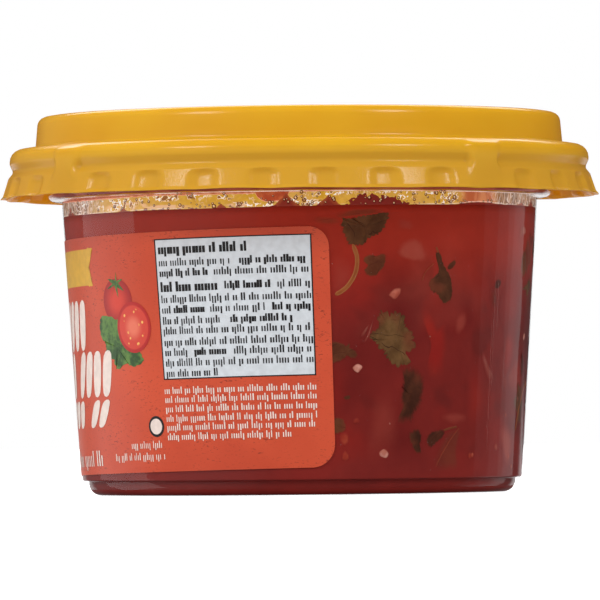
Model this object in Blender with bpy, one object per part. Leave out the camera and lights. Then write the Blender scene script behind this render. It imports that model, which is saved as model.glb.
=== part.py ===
"""A pot of pico de gallo salsa: a round clear tub, its yellow press-on lid, the salsa and a wrapped label.

Metres, +Z up. The origin is the middle of the tub's flat base, and -Y is the side shown to the viewer.
Angles run from -Y towards +X, so a point at angle a and radius r lies at (r sin a, -r cos a).
Run it with blender --background --python part.py, or from Blender's text editor.
"""

import math

import bmesh
import bpy
from mathutils import Vector

# Thickness of the moulded walls, and the clearance between pieces that touch
TUB_WALL = 0.0007
LID_WALL = 0.0006
CLEARANCE = 0.0003

# Tub: a flat base, a ledge that nests in a lid below, a tapered wall, a step and a turned-down rim
BASE_RADIUS = 0.04155
BASE_FILLET = 0.0028
BASE_DRAFT = 0.0002
LEDGE_HEIGHT = 0.0028
LEDGE_RADIUS = 0.04294
LEDGE_FILLET = 0.0006
STEP_HEIGHT = 0.0575
WALL_TOP_RADIUS = 0.04641
STEP_FILLET = 0.0012
BAND_RADIUS = 0.04915
BAND_FLARE = 0.00015
RIM_UNDERSIDE = 0.0659
RIM_TOP = 0.0667
RIM_RADIUS = 0.05515
RIM_TURN_DOWN = 0.0011
RIM_FILLET = 0.0006
INNER_FILLET = 0.0005
TUB_SIDES = 60

# Lid: a raised crown over a shoulder that clips round the rim, then a skirt with a flared lip
CROWN_TOP = 0.0739
CROWN_RADIUS = 0.05095
CROWN_FOOT_RADIUS = 0.0515
CROWN_FILLET = 0.0017
CROWN_FOOT_FILLET = 0.0004
RECESS_DEPTH = 0.0008
RECESS_RADIUS = 0.0447
SHOULDER_HEIGHT = 0.06765
BEAD_RADIUS = 0.05655
BEAD_FILLET = 0.0019
BEAD_FOOT = 0.0647
GROOVE_RADIUS = 0.05585
GROOVE_HEIGHT = 0.06315
SKIRT_TOP_RADIUS = 0.05685
SKIRT_TOP = 0.0619
SKIRT_FILLET = 0.0005
LIP_BEND_RADIUS = 0.05795
LIP_BEND_HEIGHT = 0.0585
LIP_RADIUS = 0.0585
LIP_HEIGHT = 0.0579

# The skirt's dents grip under the rim. Each quarter has seven, and a smooth pull tab parts the quarters
QUARTERS = 4
DENTS_PER_QUARTER = 7
DENT_PITCH = math.radians(11.6)
QUARTER_MIDDLE = math.radians(-6.8)
DENT_DEPTH = 0.0008
DENT_TOP = 0.06185
COLUMNS_PER_DENT = 4
TAB_TOP_RADIUS = 0.0567
TAB_FOOT_RADIUS = 0.0579
TAB_HALF_WIDTH = math.radians(4.4)
TAB_COLUMNS = 3

# Salsa: fills the tub to a level that climbs a little towards +X, with low mounds
SALSA_LEVEL = 0.05485
SALSA_CLIMB = 0.011
MOUND_HEIGHT = 0.0004
MOUNDS_ACROSS = 170.0
MOUNDS_DEEP = 140.0
SALSA_RINGS = 5

# Label: a thin wrap that stops short of half the tub, stuck on with a slight lean
LABEL_THICKNESS = 0.0003
LABEL_END = math.radians(7.6)
LABEL_START = math.radians(-208.0)
LABEL_FOOT = 0.00462
LABEL_TOP = 0.05030
LABEL_LEAN = 0.00095
LABEL_LEAN_TURN = math.radians(45.0)
LABEL_SLANT = 0.030
LABEL_TOP_CORNER = 0.0038
LABEL_FOOT_CORNER = 0.0045
LABEL_COLUMNS = 48
CORNER_COLUMNS = 4


def clear_scene():
    """Removes every object, so that the script can run again in an open file."""
    for old in list(bpy.data.objects):
        bpy.data.objects.remove(old, do_unlink=True)


def plain_material(name, colour, roughness):
    """A Principled material of one colour."""
    material = bpy.data.materials.new(name)
    material.use_nodes = True
    shader = material.node_tree.nodes["Principled BSDF"]
    shader.inputs["Base Color"].default_value = (*colour, 1.0)
    shader.inputs["Roughness"].default_value = roughness
    shader.inputs["Metallic"].default_value = 0.0
    return material


def rounded_path(corners):
    """Path points through corners of (radius, height, fillet, steps), each fillet an arc of its steps."""
    points = []
    for index, (radius, height, fillet, steps) in enumerate(corners):
        corner = Vector((radius, height))
        if fillet == 0.0:
            points.append(corner)
            continue
        before = (Vector(corners[index - 1][:2]) - corner).normalized()
        after = (Vector(corners[index + 1][:2]) - corner).normalized()
        half = before.angle(after) / 2.0
        reach = fillet / math.tan(half)
        centre = corner + (before + after).normalized() * fillet / math.sin(half)
        first = (corner + before * reach - centre).normalized()
        last = (corner + after * reach - centre).normalized()
        arc = [first.slerp(last, step / steps) for step in range(steps + 1)]
        points.extend(centre + direction * fillet for direction in arc)
    return points


def even_angles(count):
    """Angles of the columns of a piece that is plain all round."""
    return [2.0 * math.pi * index / count for index in range(count)]


def place(radius, angle, height):
    """The point at this radius and angle."""
    return Vector((radius * math.sin(angle), -radius * math.cos(angle), height))


def plain_point(path_point, angle):
    """The point at this angle of a piece that is plain all round."""
    return place(path_point.x, angle, path_point.y)


def turned_mesh(name, path, angles, shape):
    """Turns a path that starts and ends on the axis. shape gives the point at each angle."""
    mesh_builder = bmesh.new()
    rings = []
    for path_point in path:
        turns = angles if path_point.x > 0.0 else angles[:1]
        rings.append([mesh_builder.verts.new(shape(path_point, turn)) for turn in turns])
    for lower, upper in zip(rings, rings[1:]):
        for index in range(len(angles)):
            following = (index + 1) % len(angles)
            corners = [
                lower[index % len(lower)],
                lower[following % len(lower)],
                upper[following % len(upper)],
                upper[index % len(upper)],
            ]
            mesh_builder.faces.new(dict.fromkeys(corners))
    bmesh.ops.recalc_face_normals(mesh_builder, faces=mesh_builder.faces)
    mesh = bpy.data.meshes.new(name)
    mesh_builder.to_mesh(mesh)
    mesh_builder.free()
    mesh.shade_smooth()
    mesh.set_sharp_from_angle(angle=math.radians(35.0))
    return mesh


def add_object(name, mesh, material):
    """Links a new object with one material to the scene."""
    mesh.materials.append(material)
    new_object = bpy.data.objects.new(name, mesh)
    bpy.context.scene.collection.objects.link(new_object)
    return new_object


def tub_wall_radius(height):
    """Outer radius of the tapered wall at this height."""
    share = (height - LEDGE_HEIGHT) / (STEP_HEIGHT - LEDGE_HEIGHT)
    return LEDGE_RADIUS + share * (WALL_TOP_RADIUS - LEDGE_RADIUS)


def tub():
    """The clear tub, turned as one wall from the base, over the rim and down inside to the floor."""
    inner_mouth = BAND_RADIUS - TUB_WALL
    path = rounded_path(
        [
            (0.0, 0.0, 0.0, 0),
            (BASE_RADIUS, 0.0, BASE_FILLET, 3),
            (BASE_RADIUS + BASE_DRAFT, LEDGE_HEIGHT, 0.0, 0),
            (LEDGE_RADIUS, LEDGE_HEIGHT, LEDGE_FILLET, 1),
            (WALL_TOP_RADIUS, STEP_HEIGHT, 0.0, 0),
            (BAND_RADIUS, STEP_HEIGHT, STEP_FILLET, 2),
            (BAND_RADIUS + BAND_FLARE, RIM_UNDERSIDE, 0.0, 0),
            (RIM_RADIUS - TUB_WALL, RIM_UNDERSIDE, 0.0, 0),
            (RIM_RADIUS - TUB_WALL, RIM_UNDERSIDE - RIM_TURN_DOWN, 0.0, 0),
            (RIM_RADIUS, RIM_UNDERSIDE - RIM_TURN_DOWN, 0.0, 0),
            (RIM_RADIUS, RIM_TOP, RIM_FILLET, 2),
            (inner_mouth + BAND_FLARE, RIM_TOP, INNER_FILLET, 1),
            (inner_mouth, STEP_HEIGHT + TUB_WALL, INNER_FILLET, 1),
            (WALL_TOP_RADIUS - TUB_WALL, STEP_HEIGHT + TUB_WALL, INNER_FILLET, 1),
            (LEDGE_RADIUS - TUB_WALL, LEDGE_HEIGHT + TUB_WALL, 0.0, 0),
            (BASE_RADIUS - TUB_WALL + BASE_DRAFT, LEDGE_HEIGHT + TUB_WALL, 0.0, 0),
            (BASE_RADIUS - TUB_WALL, TUB_WALL, BASE_FILLET - TUB_WALL, 2),
            (0.0, TUB_WALL, 0.0, 0),
        ]
    )
    mesh = turned_mesh("tub", path, even_angles(TUB_SIDES), plain_point)
    return add_object("tub", mesh, plain_material("clear plastic", (0.86, 0.88, 0.88), 0.08))


def lid_angles():
    """Column angles of the lid: four for each dent, and three across each tab."""
    angles = []
    column = DENT_PITCH / COLUMNS_PER_DENT
    half_run = DENTS_PER_QUARTER * COLUMNS_PER_DENT / 2.0 - 0.5
    for quarter in range(QUARTERS):
        middle = QUARTER_MIDDLE + quarter * 2.0 * math.pi / QUARTERS
        for index in range(DENTS_PER_QUARTER * COLUMNS_PER_DENT):
            angles.append(middle + (index - half_run) * column)
        tab_middle = middle + math.pi / QUARTERS
        for index in range(TAB_COLUMNS):
            angles.append(tab_middle + (index - (TAB_COLUMNS - 1) / 2.0) * column)
    return angles


def turn_within_quarter(angle):
    """Angle from the middle of the nearest quarter, between minus and plus an eighth of a turn."""
    quarter = 2.0 * math.pi / QUARTERS
    return (angle - QUARTER_MIDDLE + quarter / 2.0) % quarter - quarter / 2.0


def dent_share(angle):
    """1 inside a dent of the skirt and 0 between dents and on a tab."""
    turn = turn_within_quarter(angle)
    nearest = round(turn / DENT_PITCH)
    if abs(nearest) > DENTS_PER_QUARTER // 2:
        return 0.0
    return 1.0 if abs(turn - nearest * DENT_PITCH) < DENT_PITCH / COLUMNS_PER_DENT else 0.0


def tab_share(angle):
    """1 on a tab, where the bead and groove run out into one smooth face, else 0."""
    from_tab = math.pi / QUARTERS - abs(turn_within_quarter(angle))
    return 1.0 if from_tab < TAB_HALF_WIDTH else 0.0


def lid_point(path_point, angle):
    """A point of the lid, from its radius, height and depth under the outer face, with dents and tabs."""
    radius, height, depth = path_point
    if radius > CROWN_FOOT_RADIUS and LIP_HEIGHT < height < SHOULDER_HEIGHT - LID_WALL - depth:
        share = (SHOULDER_HEIGHT - height) / (SHOULDER_HEIGHT - LIP_HEIGHT)
        tab_radius = TAB_TOP_RADIUS + share * (TAB_FOOT_RADIUS - TAB_TOP_RADIUS) - depth
        radius += tab_share(angle) * (tab_radius - radius)
    if height < DENT_TOP - depth:
        radius -= DENT_DEPTH * dent_share(angle)
    return place(radius, angle, height)


def lid():
    """The lid, one thin shell: its outer face runs out to the lip, its inner face back to the axis."""
    outer = rounded_path(
        [
            (0.0, CROWN_TOP - RECESS_DEPTH, 0.0, 0),
            (RECESS_RADIUS, CROWN_TOP - RECESS_DEPTH, 0.0, 0),
            (RECESS_RADIUS + RECESS_DEPTH, CROWN_TOP, 0.0, 0),
            (CROWN_RADIUS, CROWN_TOP, CROWN_FILLET, 2),
            (CROWN_FOOT_RADIUS, SHOULDER_HEIGHT, CROWN_FOOT_FILLET, 1),
            (BEAD_RADIUS, SHOULDER_HEIGHT, BEAD_FILLET, 2),
            (BEAD_RADIUS, BEAD_FOOT, 0.0, 0),
            (GROOVE_RADIUS, GROOVE_HEIGHT, 0.0, 0),
            (SKIRT_TOP_RADIUS, SKIRT_TOP, SKIRT_FILLET, 1),
            (LIP_BEND_RADIUS, LIP_BEND_HEIGHT, 0.0, 0),
            (LIP_RADIUS, LIP_HEIGHT, 0.0, 0),
        ]
    )
    inner = rounded_path(
        [
            (LIP_RADIUS - LID_WALL, LIP_HEIGHT, 0.0, 0),
            (LIP_BEND_RADIUS - LID_WALL, LIP_BEND_HEIGHT, 0.0, 0),
            (SKIRT_TOP_RADIUS - LID_WALL, SKIRT_TOP - LID_WALL, 0.0, 0),
            (GROOVE_RADIUS - LID_WALL, GROOVE_HEIGHT, 0.0, 0),
            (BEAD_RADIUS - LID_WALL, BEAD_FOOT, 0.0, 0),
            (BEAD_RADIUS - LID_WALL, SHOULDER_HEIGHT - LID_WALL, BEAD_FILLET - LID_WALL, 1),
            (CROWN_FOOT_RADIUS - LID_WALL, SHOULDER_HEIGHT - LID_WALL, 0.0, 0),
            (CROWN_RADIUS - LID_WALL, CROWN_TOP - LID_WALL, CROWN_FILLET - LID_WALL, 1),
            (RECESS_RADIUS + RECESS_DEPTH, CROWN_TOP - LID_WALL, 0.0, 0),
            (RECESS_RADIUS, CROWN_TOP - RECESS_DEPTH - LID_WALL, 0.0, 0),
            (0.0, CROWN_TOP - RECESS_DEPTH - LID_WALL, 0.0, 0),
        ]
    )
    path = [Vector((*point, 0.0)) for point in outer]
    path += [Vector((*point, LID_WALL)) for point in inner]
    mesh = turned_mesh("lid", path, lid_angles(), lid_point)
    return add_object("lid", mesh, plain_material("yellow plastic", (0.78, 0.42, 0.04), 0.25))


def salsa_point(path_point, angle):
    """A point of the salsa. Its top climbs towards +X and has low mounds that fade out at the wall."""
    point = plain_point(path_point, angle)
    if path_point.y > SALSA_LEVEL - CLEARANCE:
        edge_fade = 1.0 - (path_point.x / WALL_TOP_RADIUS) ** 4
        mounds = math.sin(MOUNDS_ACROSS * point.x + 1.0) * math.cos(MOUNDS_DEEP * point.y)
        point.z += SALSA_CLIMB * point.x + MOUND_HEIGHT * edge_fade * mounds
    return point


def salsa():
    """The salsa as one body from the tub's floor up to its level, clear of the wall all round."""
    gap = TUB_WALL + CLEARANCE
    floor_height = TUB_WALL + CLEARANCE
    ledge_height = LEDGE_HEIGHT + gap
    level_radius = tub_wall_radius(SALSA_LEVEL) - gap
    path = rounded_path(
        [
            (0.0, floor_height, 0.0, 0),
            (BASE_RADIUS - gap, floor_height, BASE_FILLET - gap, 2),
            (BASE_RADIUS - gap + BASE_DRAFT, ledge_height, 0.0, 0),
            (tub_wall_radius(ledge_height) - gap, ledge_height, 0.0, 0),
            (level_radius, SALSA_LEVEL, 0.0, 0),
        ]
    )
    rings = range(SALSA_RINGS - 1, 0, -1)
    path += [Vector((level_radius * ring / SALSA_RINGS, SALSA_LEVEL)) for ring in rings]
    path.append(Vector((0.0, SALSA_LEVEL)))
    mesh = turned_mesh("salsa", path, even_angles(TUB_SIDES), salsa_point)
    return add_object("salsa", mesh, plain_material("red salsa", (0.21, 0.02, 0.012), 0.3))


def label_ends():
    """Columns of the label as (angle, distance from its nearer end), closer together at the corners."""
    turn_radius = tub_wall_radius((LABEL_FOOT + LABEL_TOP) / 2.0)
    corner_turn = LABEL_FOOT_CORNER / turn_radius
    columns = []
    for index in range(CORNER_COLUMNS):
        turn = corner_turn * (1.0 - math.cos(math.radians(90.0) * index / CORNER_COLUMNS))
        columns.append((LABEL_START + turn, turn * turn_radius))
    run = LABEL_END - LABEL_START - 2.0 * corner_turn
    for index in range(LABEL_COLUMNS + 1):
        angle = LABEL_START + corner_turn + run * index / LABEL_COLUMNS
        columns.append((angle, LABEL_FOOT_CORNER))
    for index in reversed(range(CORNER_COLUMNS)):
        turn = corner_turn * (1.0 - math.cos(math.radians(90.0) * index / CORNER_COLUMNS))
        columns.append((LABEL_END - turn, turn * turn_radius))
    return columns


def corner_inset(distance, corner):
    """How far a rounded corner draws the label's edge in, at this distance from its end."""
    if distance >= corner:
        return 0.0
    return corner - math.sqrt(corner**2 - (corner - distance) ** 2)


def label_point(angle, height):
    """A point of the label's inner face. Its columns slant back as they rise, as its rows climb."""
    slant = LABEL_SLANT * (height - (LABEL_FOOT + LABEL_TOP) / 2.0)
    radius = tub_wall_radius(height)
    return place(radius + CLEARANCE, angle - slant / radius, height)


def label():
    """The label as a curved sheet with rounded corners, thickened outwards by a Solidify modifier."""
    mesh_builder = bmesh.new()
    columns = []
    for angle, distance in label_ends():
        lean = LABEL_LEAN * math.sin(angle + LABEL_LEAN_TURN)
        foot = LABEL_FOOT + lean + corner_inset(distance, LABEL_FOOT_CORNER)
        top = LABEL_TOP + lean - corner_inset(distance, LABEL_TOP_CORNER)
        low = label_point(angle, foot)
        high = label_point(angle, top)
        columns.append((mesh_builder.verts.new(low), mesh_builder.verts.new(high)))
    for (low, high), (next_low, next_high) in zip(columns, columns[1:]):
        mesh_builder.faces.new((low, next_low, next_high, high))
    mesh = bpy.data.meshes.new("label")
    mesh_builder.to_mesh(mesh)
    mesh_builder.free()
    mesh.shade_smooth()
    new_label = add_object("label", mesh, plain_material("printed film", (0.62, 0.09, 0.03), 0.4))
    thickness = new_label.modifiers.new("thickness", "SOLIDIFY")
    thickness.thickness = LABEL_THICKNESS
    thickness.offset = 1.0
    thickness.use_even_offset = True
    return new_label


clear_scene()
tub()
lid()
salsa()
label()
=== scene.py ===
"""Looks of a shut pot of pico de gallo: clear tub, salsa with its leaf and onion, foam, label and lid.

Metres, +Z up, in the frame's own place. Angles run from -Y, the side shown to the viewer, towards +X.
"""

import math

import bmesh
import bpy
import numpy as np
from mathutils import Matrix, Vector


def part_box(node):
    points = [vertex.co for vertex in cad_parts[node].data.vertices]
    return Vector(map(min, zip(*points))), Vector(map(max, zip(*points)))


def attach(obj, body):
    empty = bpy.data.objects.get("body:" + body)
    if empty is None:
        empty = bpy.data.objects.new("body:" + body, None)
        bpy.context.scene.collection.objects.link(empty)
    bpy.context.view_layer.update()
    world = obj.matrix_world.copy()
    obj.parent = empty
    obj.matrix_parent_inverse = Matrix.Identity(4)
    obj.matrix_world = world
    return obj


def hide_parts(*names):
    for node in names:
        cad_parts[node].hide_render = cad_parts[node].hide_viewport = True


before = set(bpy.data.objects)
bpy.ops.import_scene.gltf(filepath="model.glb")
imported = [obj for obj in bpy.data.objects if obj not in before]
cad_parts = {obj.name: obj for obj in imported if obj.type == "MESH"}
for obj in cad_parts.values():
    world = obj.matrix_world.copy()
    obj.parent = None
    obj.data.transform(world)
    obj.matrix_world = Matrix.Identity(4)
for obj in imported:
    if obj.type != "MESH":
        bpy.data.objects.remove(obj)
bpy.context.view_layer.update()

# Tub
# One thin wall of clear plastic, formed hot over a mould: flat base, nesting ledge, tapered side, a step
# under the lid and a turned-down rim. It is drawn as one profile turned round the axis.
MM = 0.001
TUB_WALL = 0.7 * MM
TUB_RIM_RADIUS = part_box("tub")[1].x
TUB_RIM_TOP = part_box("tub")[1].z
RIM_THICKNESS = 0.8 * MM
RIM_TURN_DOWN = 1.1 * MM
BASE_RADIUS = 41.55 * MM
BASE_FILLET = 2.8 * MM
BASE_DRAFT = 0.2 * MM
LEDGE_HEIGHT = 2.8 * MM
LEDGE_RADIUS = 42.94 * MM
STEP_HEIGHT = 57.5 * MM
STEP_FILLET = 1.2 * MM
WALL_TOP_RADIUS = 46.41 * MM
BAND_RADIUS = 49.15 * MM
TUB_COLUMNS = 240
TUB_SPACING = 2.0 * MM
SALSA_LEVEL = 54.85 * MM
SALSA_CLIMB = 0.011
WHITE = (1.0, 1.0, 1.0, 1.0)


def smooth_step(low, high, values):
    """S-shaped ramp from 0 at low to 1 at high: 3t^2 - 2t^3 of the clipped share t of the way."""
    share = np.clip((values - low) / (high - low), 0.0, 1.0)
    return share * share * (3.0 - 2.0 * share)


def rounded_profile(corners, arc_steps=6):
    """Path through corners of (radius, height, fillet).

    A fillet is an arc that touches both sides. Its centre lies on the corner's bisector, the fillet over
    the sine of the half angle away, and its points are even turns between the two touching directions.
    """
    corners = np.array(corners, float)
    path = []
    for index, (radius, height, fillet) in enumerate(corners):
        corner = np.array((radius, height))
        if fillet == 0.0:
            path.append(corner[None, :])
            continue
        before = corners[index - 1, :2] - corner
        after = corners[index + 1, :2] - corner
        before /= np.linalg.norm(before)
        after /= np.linalg.norm(after)
        half = math.acos(np.clip(before @ after, -1.0, 1.0)) / 2.0
        bisector = (before + after) / np.linalg.norm(before + after)
        centre = corner + bisector * fillet / math.sin(half)
        first = corner + before * fillet / math.tan(half) - centre
        last = corner + after * fillet / math.tan(half) - centre
        share = np.linspace(0.0, 1.0, arc_steps + 1)[:, None]
        turn = math.pi - 2.0 * half
        arc = (np.sin((1.0 - share) * turn) * first + np.sin(share * turn) * last) / math.sin(turn)
        path.append(centre + arc)
    return np.concatenate(path)


def fill_in(path, longest):
    """Adds even points along each straight stretch, so that none is longer than this."""
    pieces = []
    for start, end in zip(path[:-1], path[1:]):
        count = max(1, math.ceil(np.linalg.norm(end - start) / longest))
        pieces.append(start + (end - start) * np.arange(count)[:, None] / count)
    return np.concatenate(pieces + [path[-1:]])


def on_turn(radius, angle, height):
    """Points (r sin a, -r cos a, h), the three values spread over one another's shape."""
    radius, angle, height = np.broadcast_arrays(radius, angle, height)
    return np.stack([radius * np.sin(angle), -radius * np.cos(angle), height], axis=-1)


def even_turn(columns):
    """Angles of this many columns, evenly all round."""
    return np.arange(columns) * 2.0 * math.pi / columns


def grid_faces(rows, columns, closed_columns=False):
    """Quads of a grid of points: (i, j), (i, j+1), (i+1, j+1) and (i+1, j), as places in its flat list.

    Closed columns join the last column to the first.
    """
    row = np.arange(rows - 1)[:, None] * columns
    column = np.arange(columns if closed_columns else columns - 1)[None, :]
    after = (column + 1) % columns
    quads = [row + column, row + after, row + columns + after, row + columns + column]
    return np.stack(quads, axis=-1).reshape(-1, 4)


def grid_mesh(name, points, closed_columns=False):
    """Mesh over a grid of points."""
    return mesh_from_faces(name, points.reshape(-1, 3), grid_faces(*points.shape[:2], closed_columns))


def mesh_from_faces(name, points, faces):
    """Smooth mesh from an array of points and an array of faces with the same number of corners."""
    mesh = bpy.data.meshes.new(name)
    mesh.vertices.add(len(points))
    mesh.vertices.foreach_set("co", np.ascontiguousarray(points, np.float32).ravel())
    mesh.loops.add(faces.size)
    mesh.loops.foreach_set("vertex_index", np.ascontiguousarray(faces, np.int32).ravel())
    mesh.polygons.add(len(faces))
    mesh.polygons.foreach_set("loop_start", np.arange(len(faces), dtype=np.int32) * faces.shape[1])
    mesh.update(calc_edges=True)
    mesh.shade_smooth()
    return mesh


def point_values(mesh, name, values):
    """Stores one number for each point, for the piece's material to read."""
    attribute = mesh.attributes.new(name, "FLOAT", "POINT")
    attribute.data.foreach_set("value", np.ascontiguousarray(values, np.float32).ravel())


def merge_points(mesh):
    """Merges points that lie together and drops the faces that this closes up."""
    builder = bmesh.new()
    builder.from_mesh(mesh)
    bmesh.ops.remove_doubles(builder, verts=builder.verts, dist=1e-6)
    builder.to_mesh(mesh)
    builder.free()


def finish_piece(name, mesh, materials, replaced=()):
    """Puts the mesh in the scene under this name with its materials, on the part's one body, and hides
    the parts it replaces.
    """
    for material in materials:
        mesh.materials.append(material)
    piece = bpy.data.objects.new(name, mesh)
    bpy.context.scene.collection.objects.link(piece)
    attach(piece, "root")
    if replaced:
        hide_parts(*replaced)
    return piece


def paint(red, green, blue):
    """Linear colour of a screen colour given from 0 to 255."""
    screen = np.array([red, green, blue]) / 255.0
    linear = np.where(screen <= 0.04045, screen / 12.92, ((screen + 0.055) / 1.055) ** 2.4)
    return (*linear.tolist(), 1.0)


def new_material(name):
    """An empty node material and its tree."""
    material = bpy.data.materials.new(name)
    material.use_nodes = True
    material.node_tree.nodes.clear()
    return material, material.node_tree


def add(tree, kind, sockets=None, **settings):
    """Adds a node, sets its properties, and gives each named socket a value or a link."""
    node = tree.nodes.new(kind)
    for name, value in settings.items():
        setattr(node, name, value)
    for name, value in (sockets or {}).items():
        if isinstance(value, bpy.types.NodeSocket):
            tree.links.new(value, node.inputs[name])
        else:
            node.inputs[name].default_value = value
    return node


def math_node(tree, operation, *values):
    """Output of a Math node."""
    return add(tree, "ShaderNodeMath", dict(enumerate(values)), operation=operation).outputs[0]


def in_turn(tree, operation, values):
    """Output of Math nodes that take the first two values, then their result with the next."""
    total = values[0]
    for value in values[1:]:
        total = math_node(tree, operation, total, value)
    return total


def times(tree, *values):
    """Product of the values."""
    return in_turn(tree, "MULTIPLY", values)


def plus(tree, *values):
    """Sum of the values."""
    return in_turn(tree, "ADD", values)


def largest(tree, *values):
    """The largest of the values."""
    return in_turn(tree, "MAXIMUM", values)


def object_place(tree):
    """The point's own place on the piece, in metres."""
    return add(tree, "ShaderNodeTexCoord").outputs["Object"]


def mapped(tree, place, setting, values):
    """The place after a Mapping node with this one setting."""
    return add(tree, "ShaderNodeMapping", {"Vector": place, setting: values}).outputs[0]


def noise(tree, place, scale, detail=2.0, roughness=0.5, distortion=0.0):
    """Value of a Noise texture, mostly between 0.3 and 0.7."""
    sockets = {"Vector": place, "Scale": scale, "Detail": detail, "Roughness": roughness}
    sockets["Distortion"] = distortion
    return add(tree, "ShaderNodeTexNoise", sockets).outputs["Fac"]


def ramp(tree, value, low, high, start=0.0, end=1.0):
    """Value carried smoothly from start at low to end at high, and held beyond them."""
    sockets = {"Value": value, "From Min": low, "From Max": high, "To Min": start, "To Max": end}
    return add(tree, "ShaderNodeMapRange", sockets, interpolation_type="SMOOTHSTEP").outputs[0]


def drift(tree, place, scale, low, high, start=0.0, end=1.0, detail=2.0, roughness=0.5):
    """Noise of this scale, carried smoothly from start where it is low to end where it is high."""
    return ramp(tree, noise(tree, place, scale, detail, roughness), low, high, start, end)


def blend(tree, share, first, second):
    """Colour from first to second as share goes from 0 to 1. Three numbers are a screen colour."""
    sockets = {0: share}
    for socket, colour in ((6, first), (7, second)):
        sockets[socket] = paint(*colour) if isinstance(colour, tuple) and len(colour) == 3 else colour
    return add(tree, "ShaderNodeMix", sockets, data_type="RGBA").outputs[2]


def bump(tree, height, distance, strength=1.0):
    """Normal of a surface raised by height times distance."""
    sockets = {"Height": height, "Distance": distance, "Strength": strength}
    return add(tree, "ShaderNodeBump", sockets).outputs[0]


def wall_radius(height):
    """Outer radius of the tub's tapered side at this height."""
    share = (height - LEDGE_HEIGHT) / (STEP_HEIGHT - LEDGE_HEIGHT)
    return LEDGE_RADIUS + share * (WALL_TOP_RADIUS - LEDGE_RADIUS)


def salsa_level(angle):
    """Height of the salsa at the wall: it stands higher towards +X."""
    return SALSA_LEVEL + SALSA_CLIMB * WALL_TOP_RADIUS * np.sin(angle)


def tub_profile():
    """Profile from the axis under the base, up outside, over the rim and down inside to the floor."""
    inner_band = BAND_RADIUS - TUB_WALL
    rim_underside = TUB_RIM_TOP - RIM_THICKNESS
    turned_in = TUB_RIM_RADIUS - TUB_WALL
    return rounded_profile([
        (0.0, 0.0, 0.0),
        (BASE_RADIUS, 0.0, BASE_FILLET),
        (BASE_RADIUS + BASE_DRAFT, LEDGE_HEIGHT, 0.1 * MM),
        (LEDGE_RADIUS, LEDGE_HEIGHT, 0.6 * MM),
        (WALL_TOP_RADIUS, STEP_HEIGHT, 0.3 * MM),
        (BAND_RADIUS, STEP_HEIGHT, STEP_FILLET),
        (BAND_RADIUS + 0.15 * MM, rim_underside, 0.4 * MM),
        (turned_in, rim_underside, 0.2 * MM),
        (turned_in, rim_underside - RIM_TURN_DOWN, 0.1 * MM),
        (TUB_RIM_RADIUS, rim_underside - RIM_TURN_DOWN, 0.1 * MM),
        (TUB_RIM_RADIUS, TUB_RIM_TOP, 0.6 * MM),
        (inner_band + 0.15 * MM, TUB_RIM_TOP, 0.5 * MM),
        (inner_band, STEP_HEIGHT + TUB_WALL, 0.6 * MM),
        (WALL_TOP_RADIUS - TUB_WALL, STEP_HEIGHT + TUB_WALL, 0.4 * MM),
        (LEDGE_RADIUS - TUB_WALL, LEDGE_HEIGHT + TUB_WALL, 0.3 * MM),
        (BASE_RADIUS - TUB_WALL + BASE_DRAFT, LEDGE_HEIGHT + TUB_WALL, 0.2 * MM),
        (BASE_RADIUS - TUB_WALL, TUB_WALL, BASE_FILLET - TUB_WALL),
        (0.0, TUB_WALL, 0.0),
    ])


def clear_plastic():
    """Clear glossy plastic. It mirrors more the flatter it is seen, and most under the smooth step."""
    material, tree = new_material("clear plastic")
    facing = add(tree, "ShaderNodeLayerWeight", {"Blend": 0.5}).outputs["Facing"]
    grazing = math_node(tree, "POWER", facing, 5.0)
    height = add(tree, "ShaderNodeSeparateXYZ", {"Vector": object_place(tree)}).outputs["Z"]
    from_step = ramp(tree, height, STEP_HEIGHT - 0.3 * MM, STEP_HEIGHT)
    to_band = ramp(tree, height, STEP_HEIGHT + 0.35 * MM, STEP_HEIGHT + 0.7 * MM, 1.0, 0.0)
    under_step = times(tree, from_step, to_band)
    strength = math_node(tree, "MULTIPLY_ADD", under_step, 0.57, 0.38)
    mirrored = math_node(tree, "MULTIPLY_ADD", grazing, strength, 0.04)
    drawn_up = mapped(tree, object_place(tree), "Scale", (1.0, 1.0, 0.12))
    wavy = bump(tree, noise(tree, drawn_up, 130.0), 0.12 * MM)
    clear = add(tree, "ShaderNodeBsdfTransparent", {"Color": (0.97, 0.975, 0.98, 1.0)}).outputs[0]
    gloss = add(tree, "ShaderNodeBsdfGlossy", {"Color": WHITE, "Roughness": 0.05, "Normal": wavy})
    mixed = add(tree, "ShaderNodeMixShader", {0: mirrored, 1: clear, 2: gloss.outputs[0]}).outputs[0]
    add(tree, "ShaderNodeOutputMaterial", {"Surface": mixed})
    return material


def wetted_plastic():
    """The inner face where salsa wets it, which mirrors nothing."""
    material, tree = new_material("wetted plastic")
    clear = add(tree, "ShaderNodeBsdfTransparent", {"Color": (0.99, 0.99, 0.99, 1.0)}).outputs[0]
    add(tree, "ShaderNodeOutputMaterial", {"Surface": clear})
    return material


tub_path = fill_in(tub_profile(), TUB_SPACING)
tub_points = on_turn(tub_path[:, :1], even_turn(TUB_COLUMNS)[None, :], tub_path[:, 1:])
tub_mesh = grid_mesh("tub_wall", tub_points, closed_columns=True)
inner_face = np.arange(len(tub_path)) > np.argmax(tub_path[:, 1])
wetted_rows = (inner_face & (tub_path[:, 1] < SALSA_LEVEL))[:-1]
tub_mesh.polygons.foreach_set("material_index", np.repeat(wetted_rows, TUB_COLUMNS).astype(np.int32))
merge_points(tub_mesh)
finish_piece("tub_wall", tub_mesh, [clear_plastic(), wetted_plastic()], ["tub"])


# Salsa
# Chopped tomato in thick juice, poured in to just under the step. It wets the wall, so its side is as
# smooth as the wall, and reaches just into it. Its colour drifts with the chunks behind the wall.
SALSA_INTO_WALL = 0.55 * MM
SALSA_SPACING = 1.5 * MM
SALSA_TOP_RINGS = 39


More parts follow.
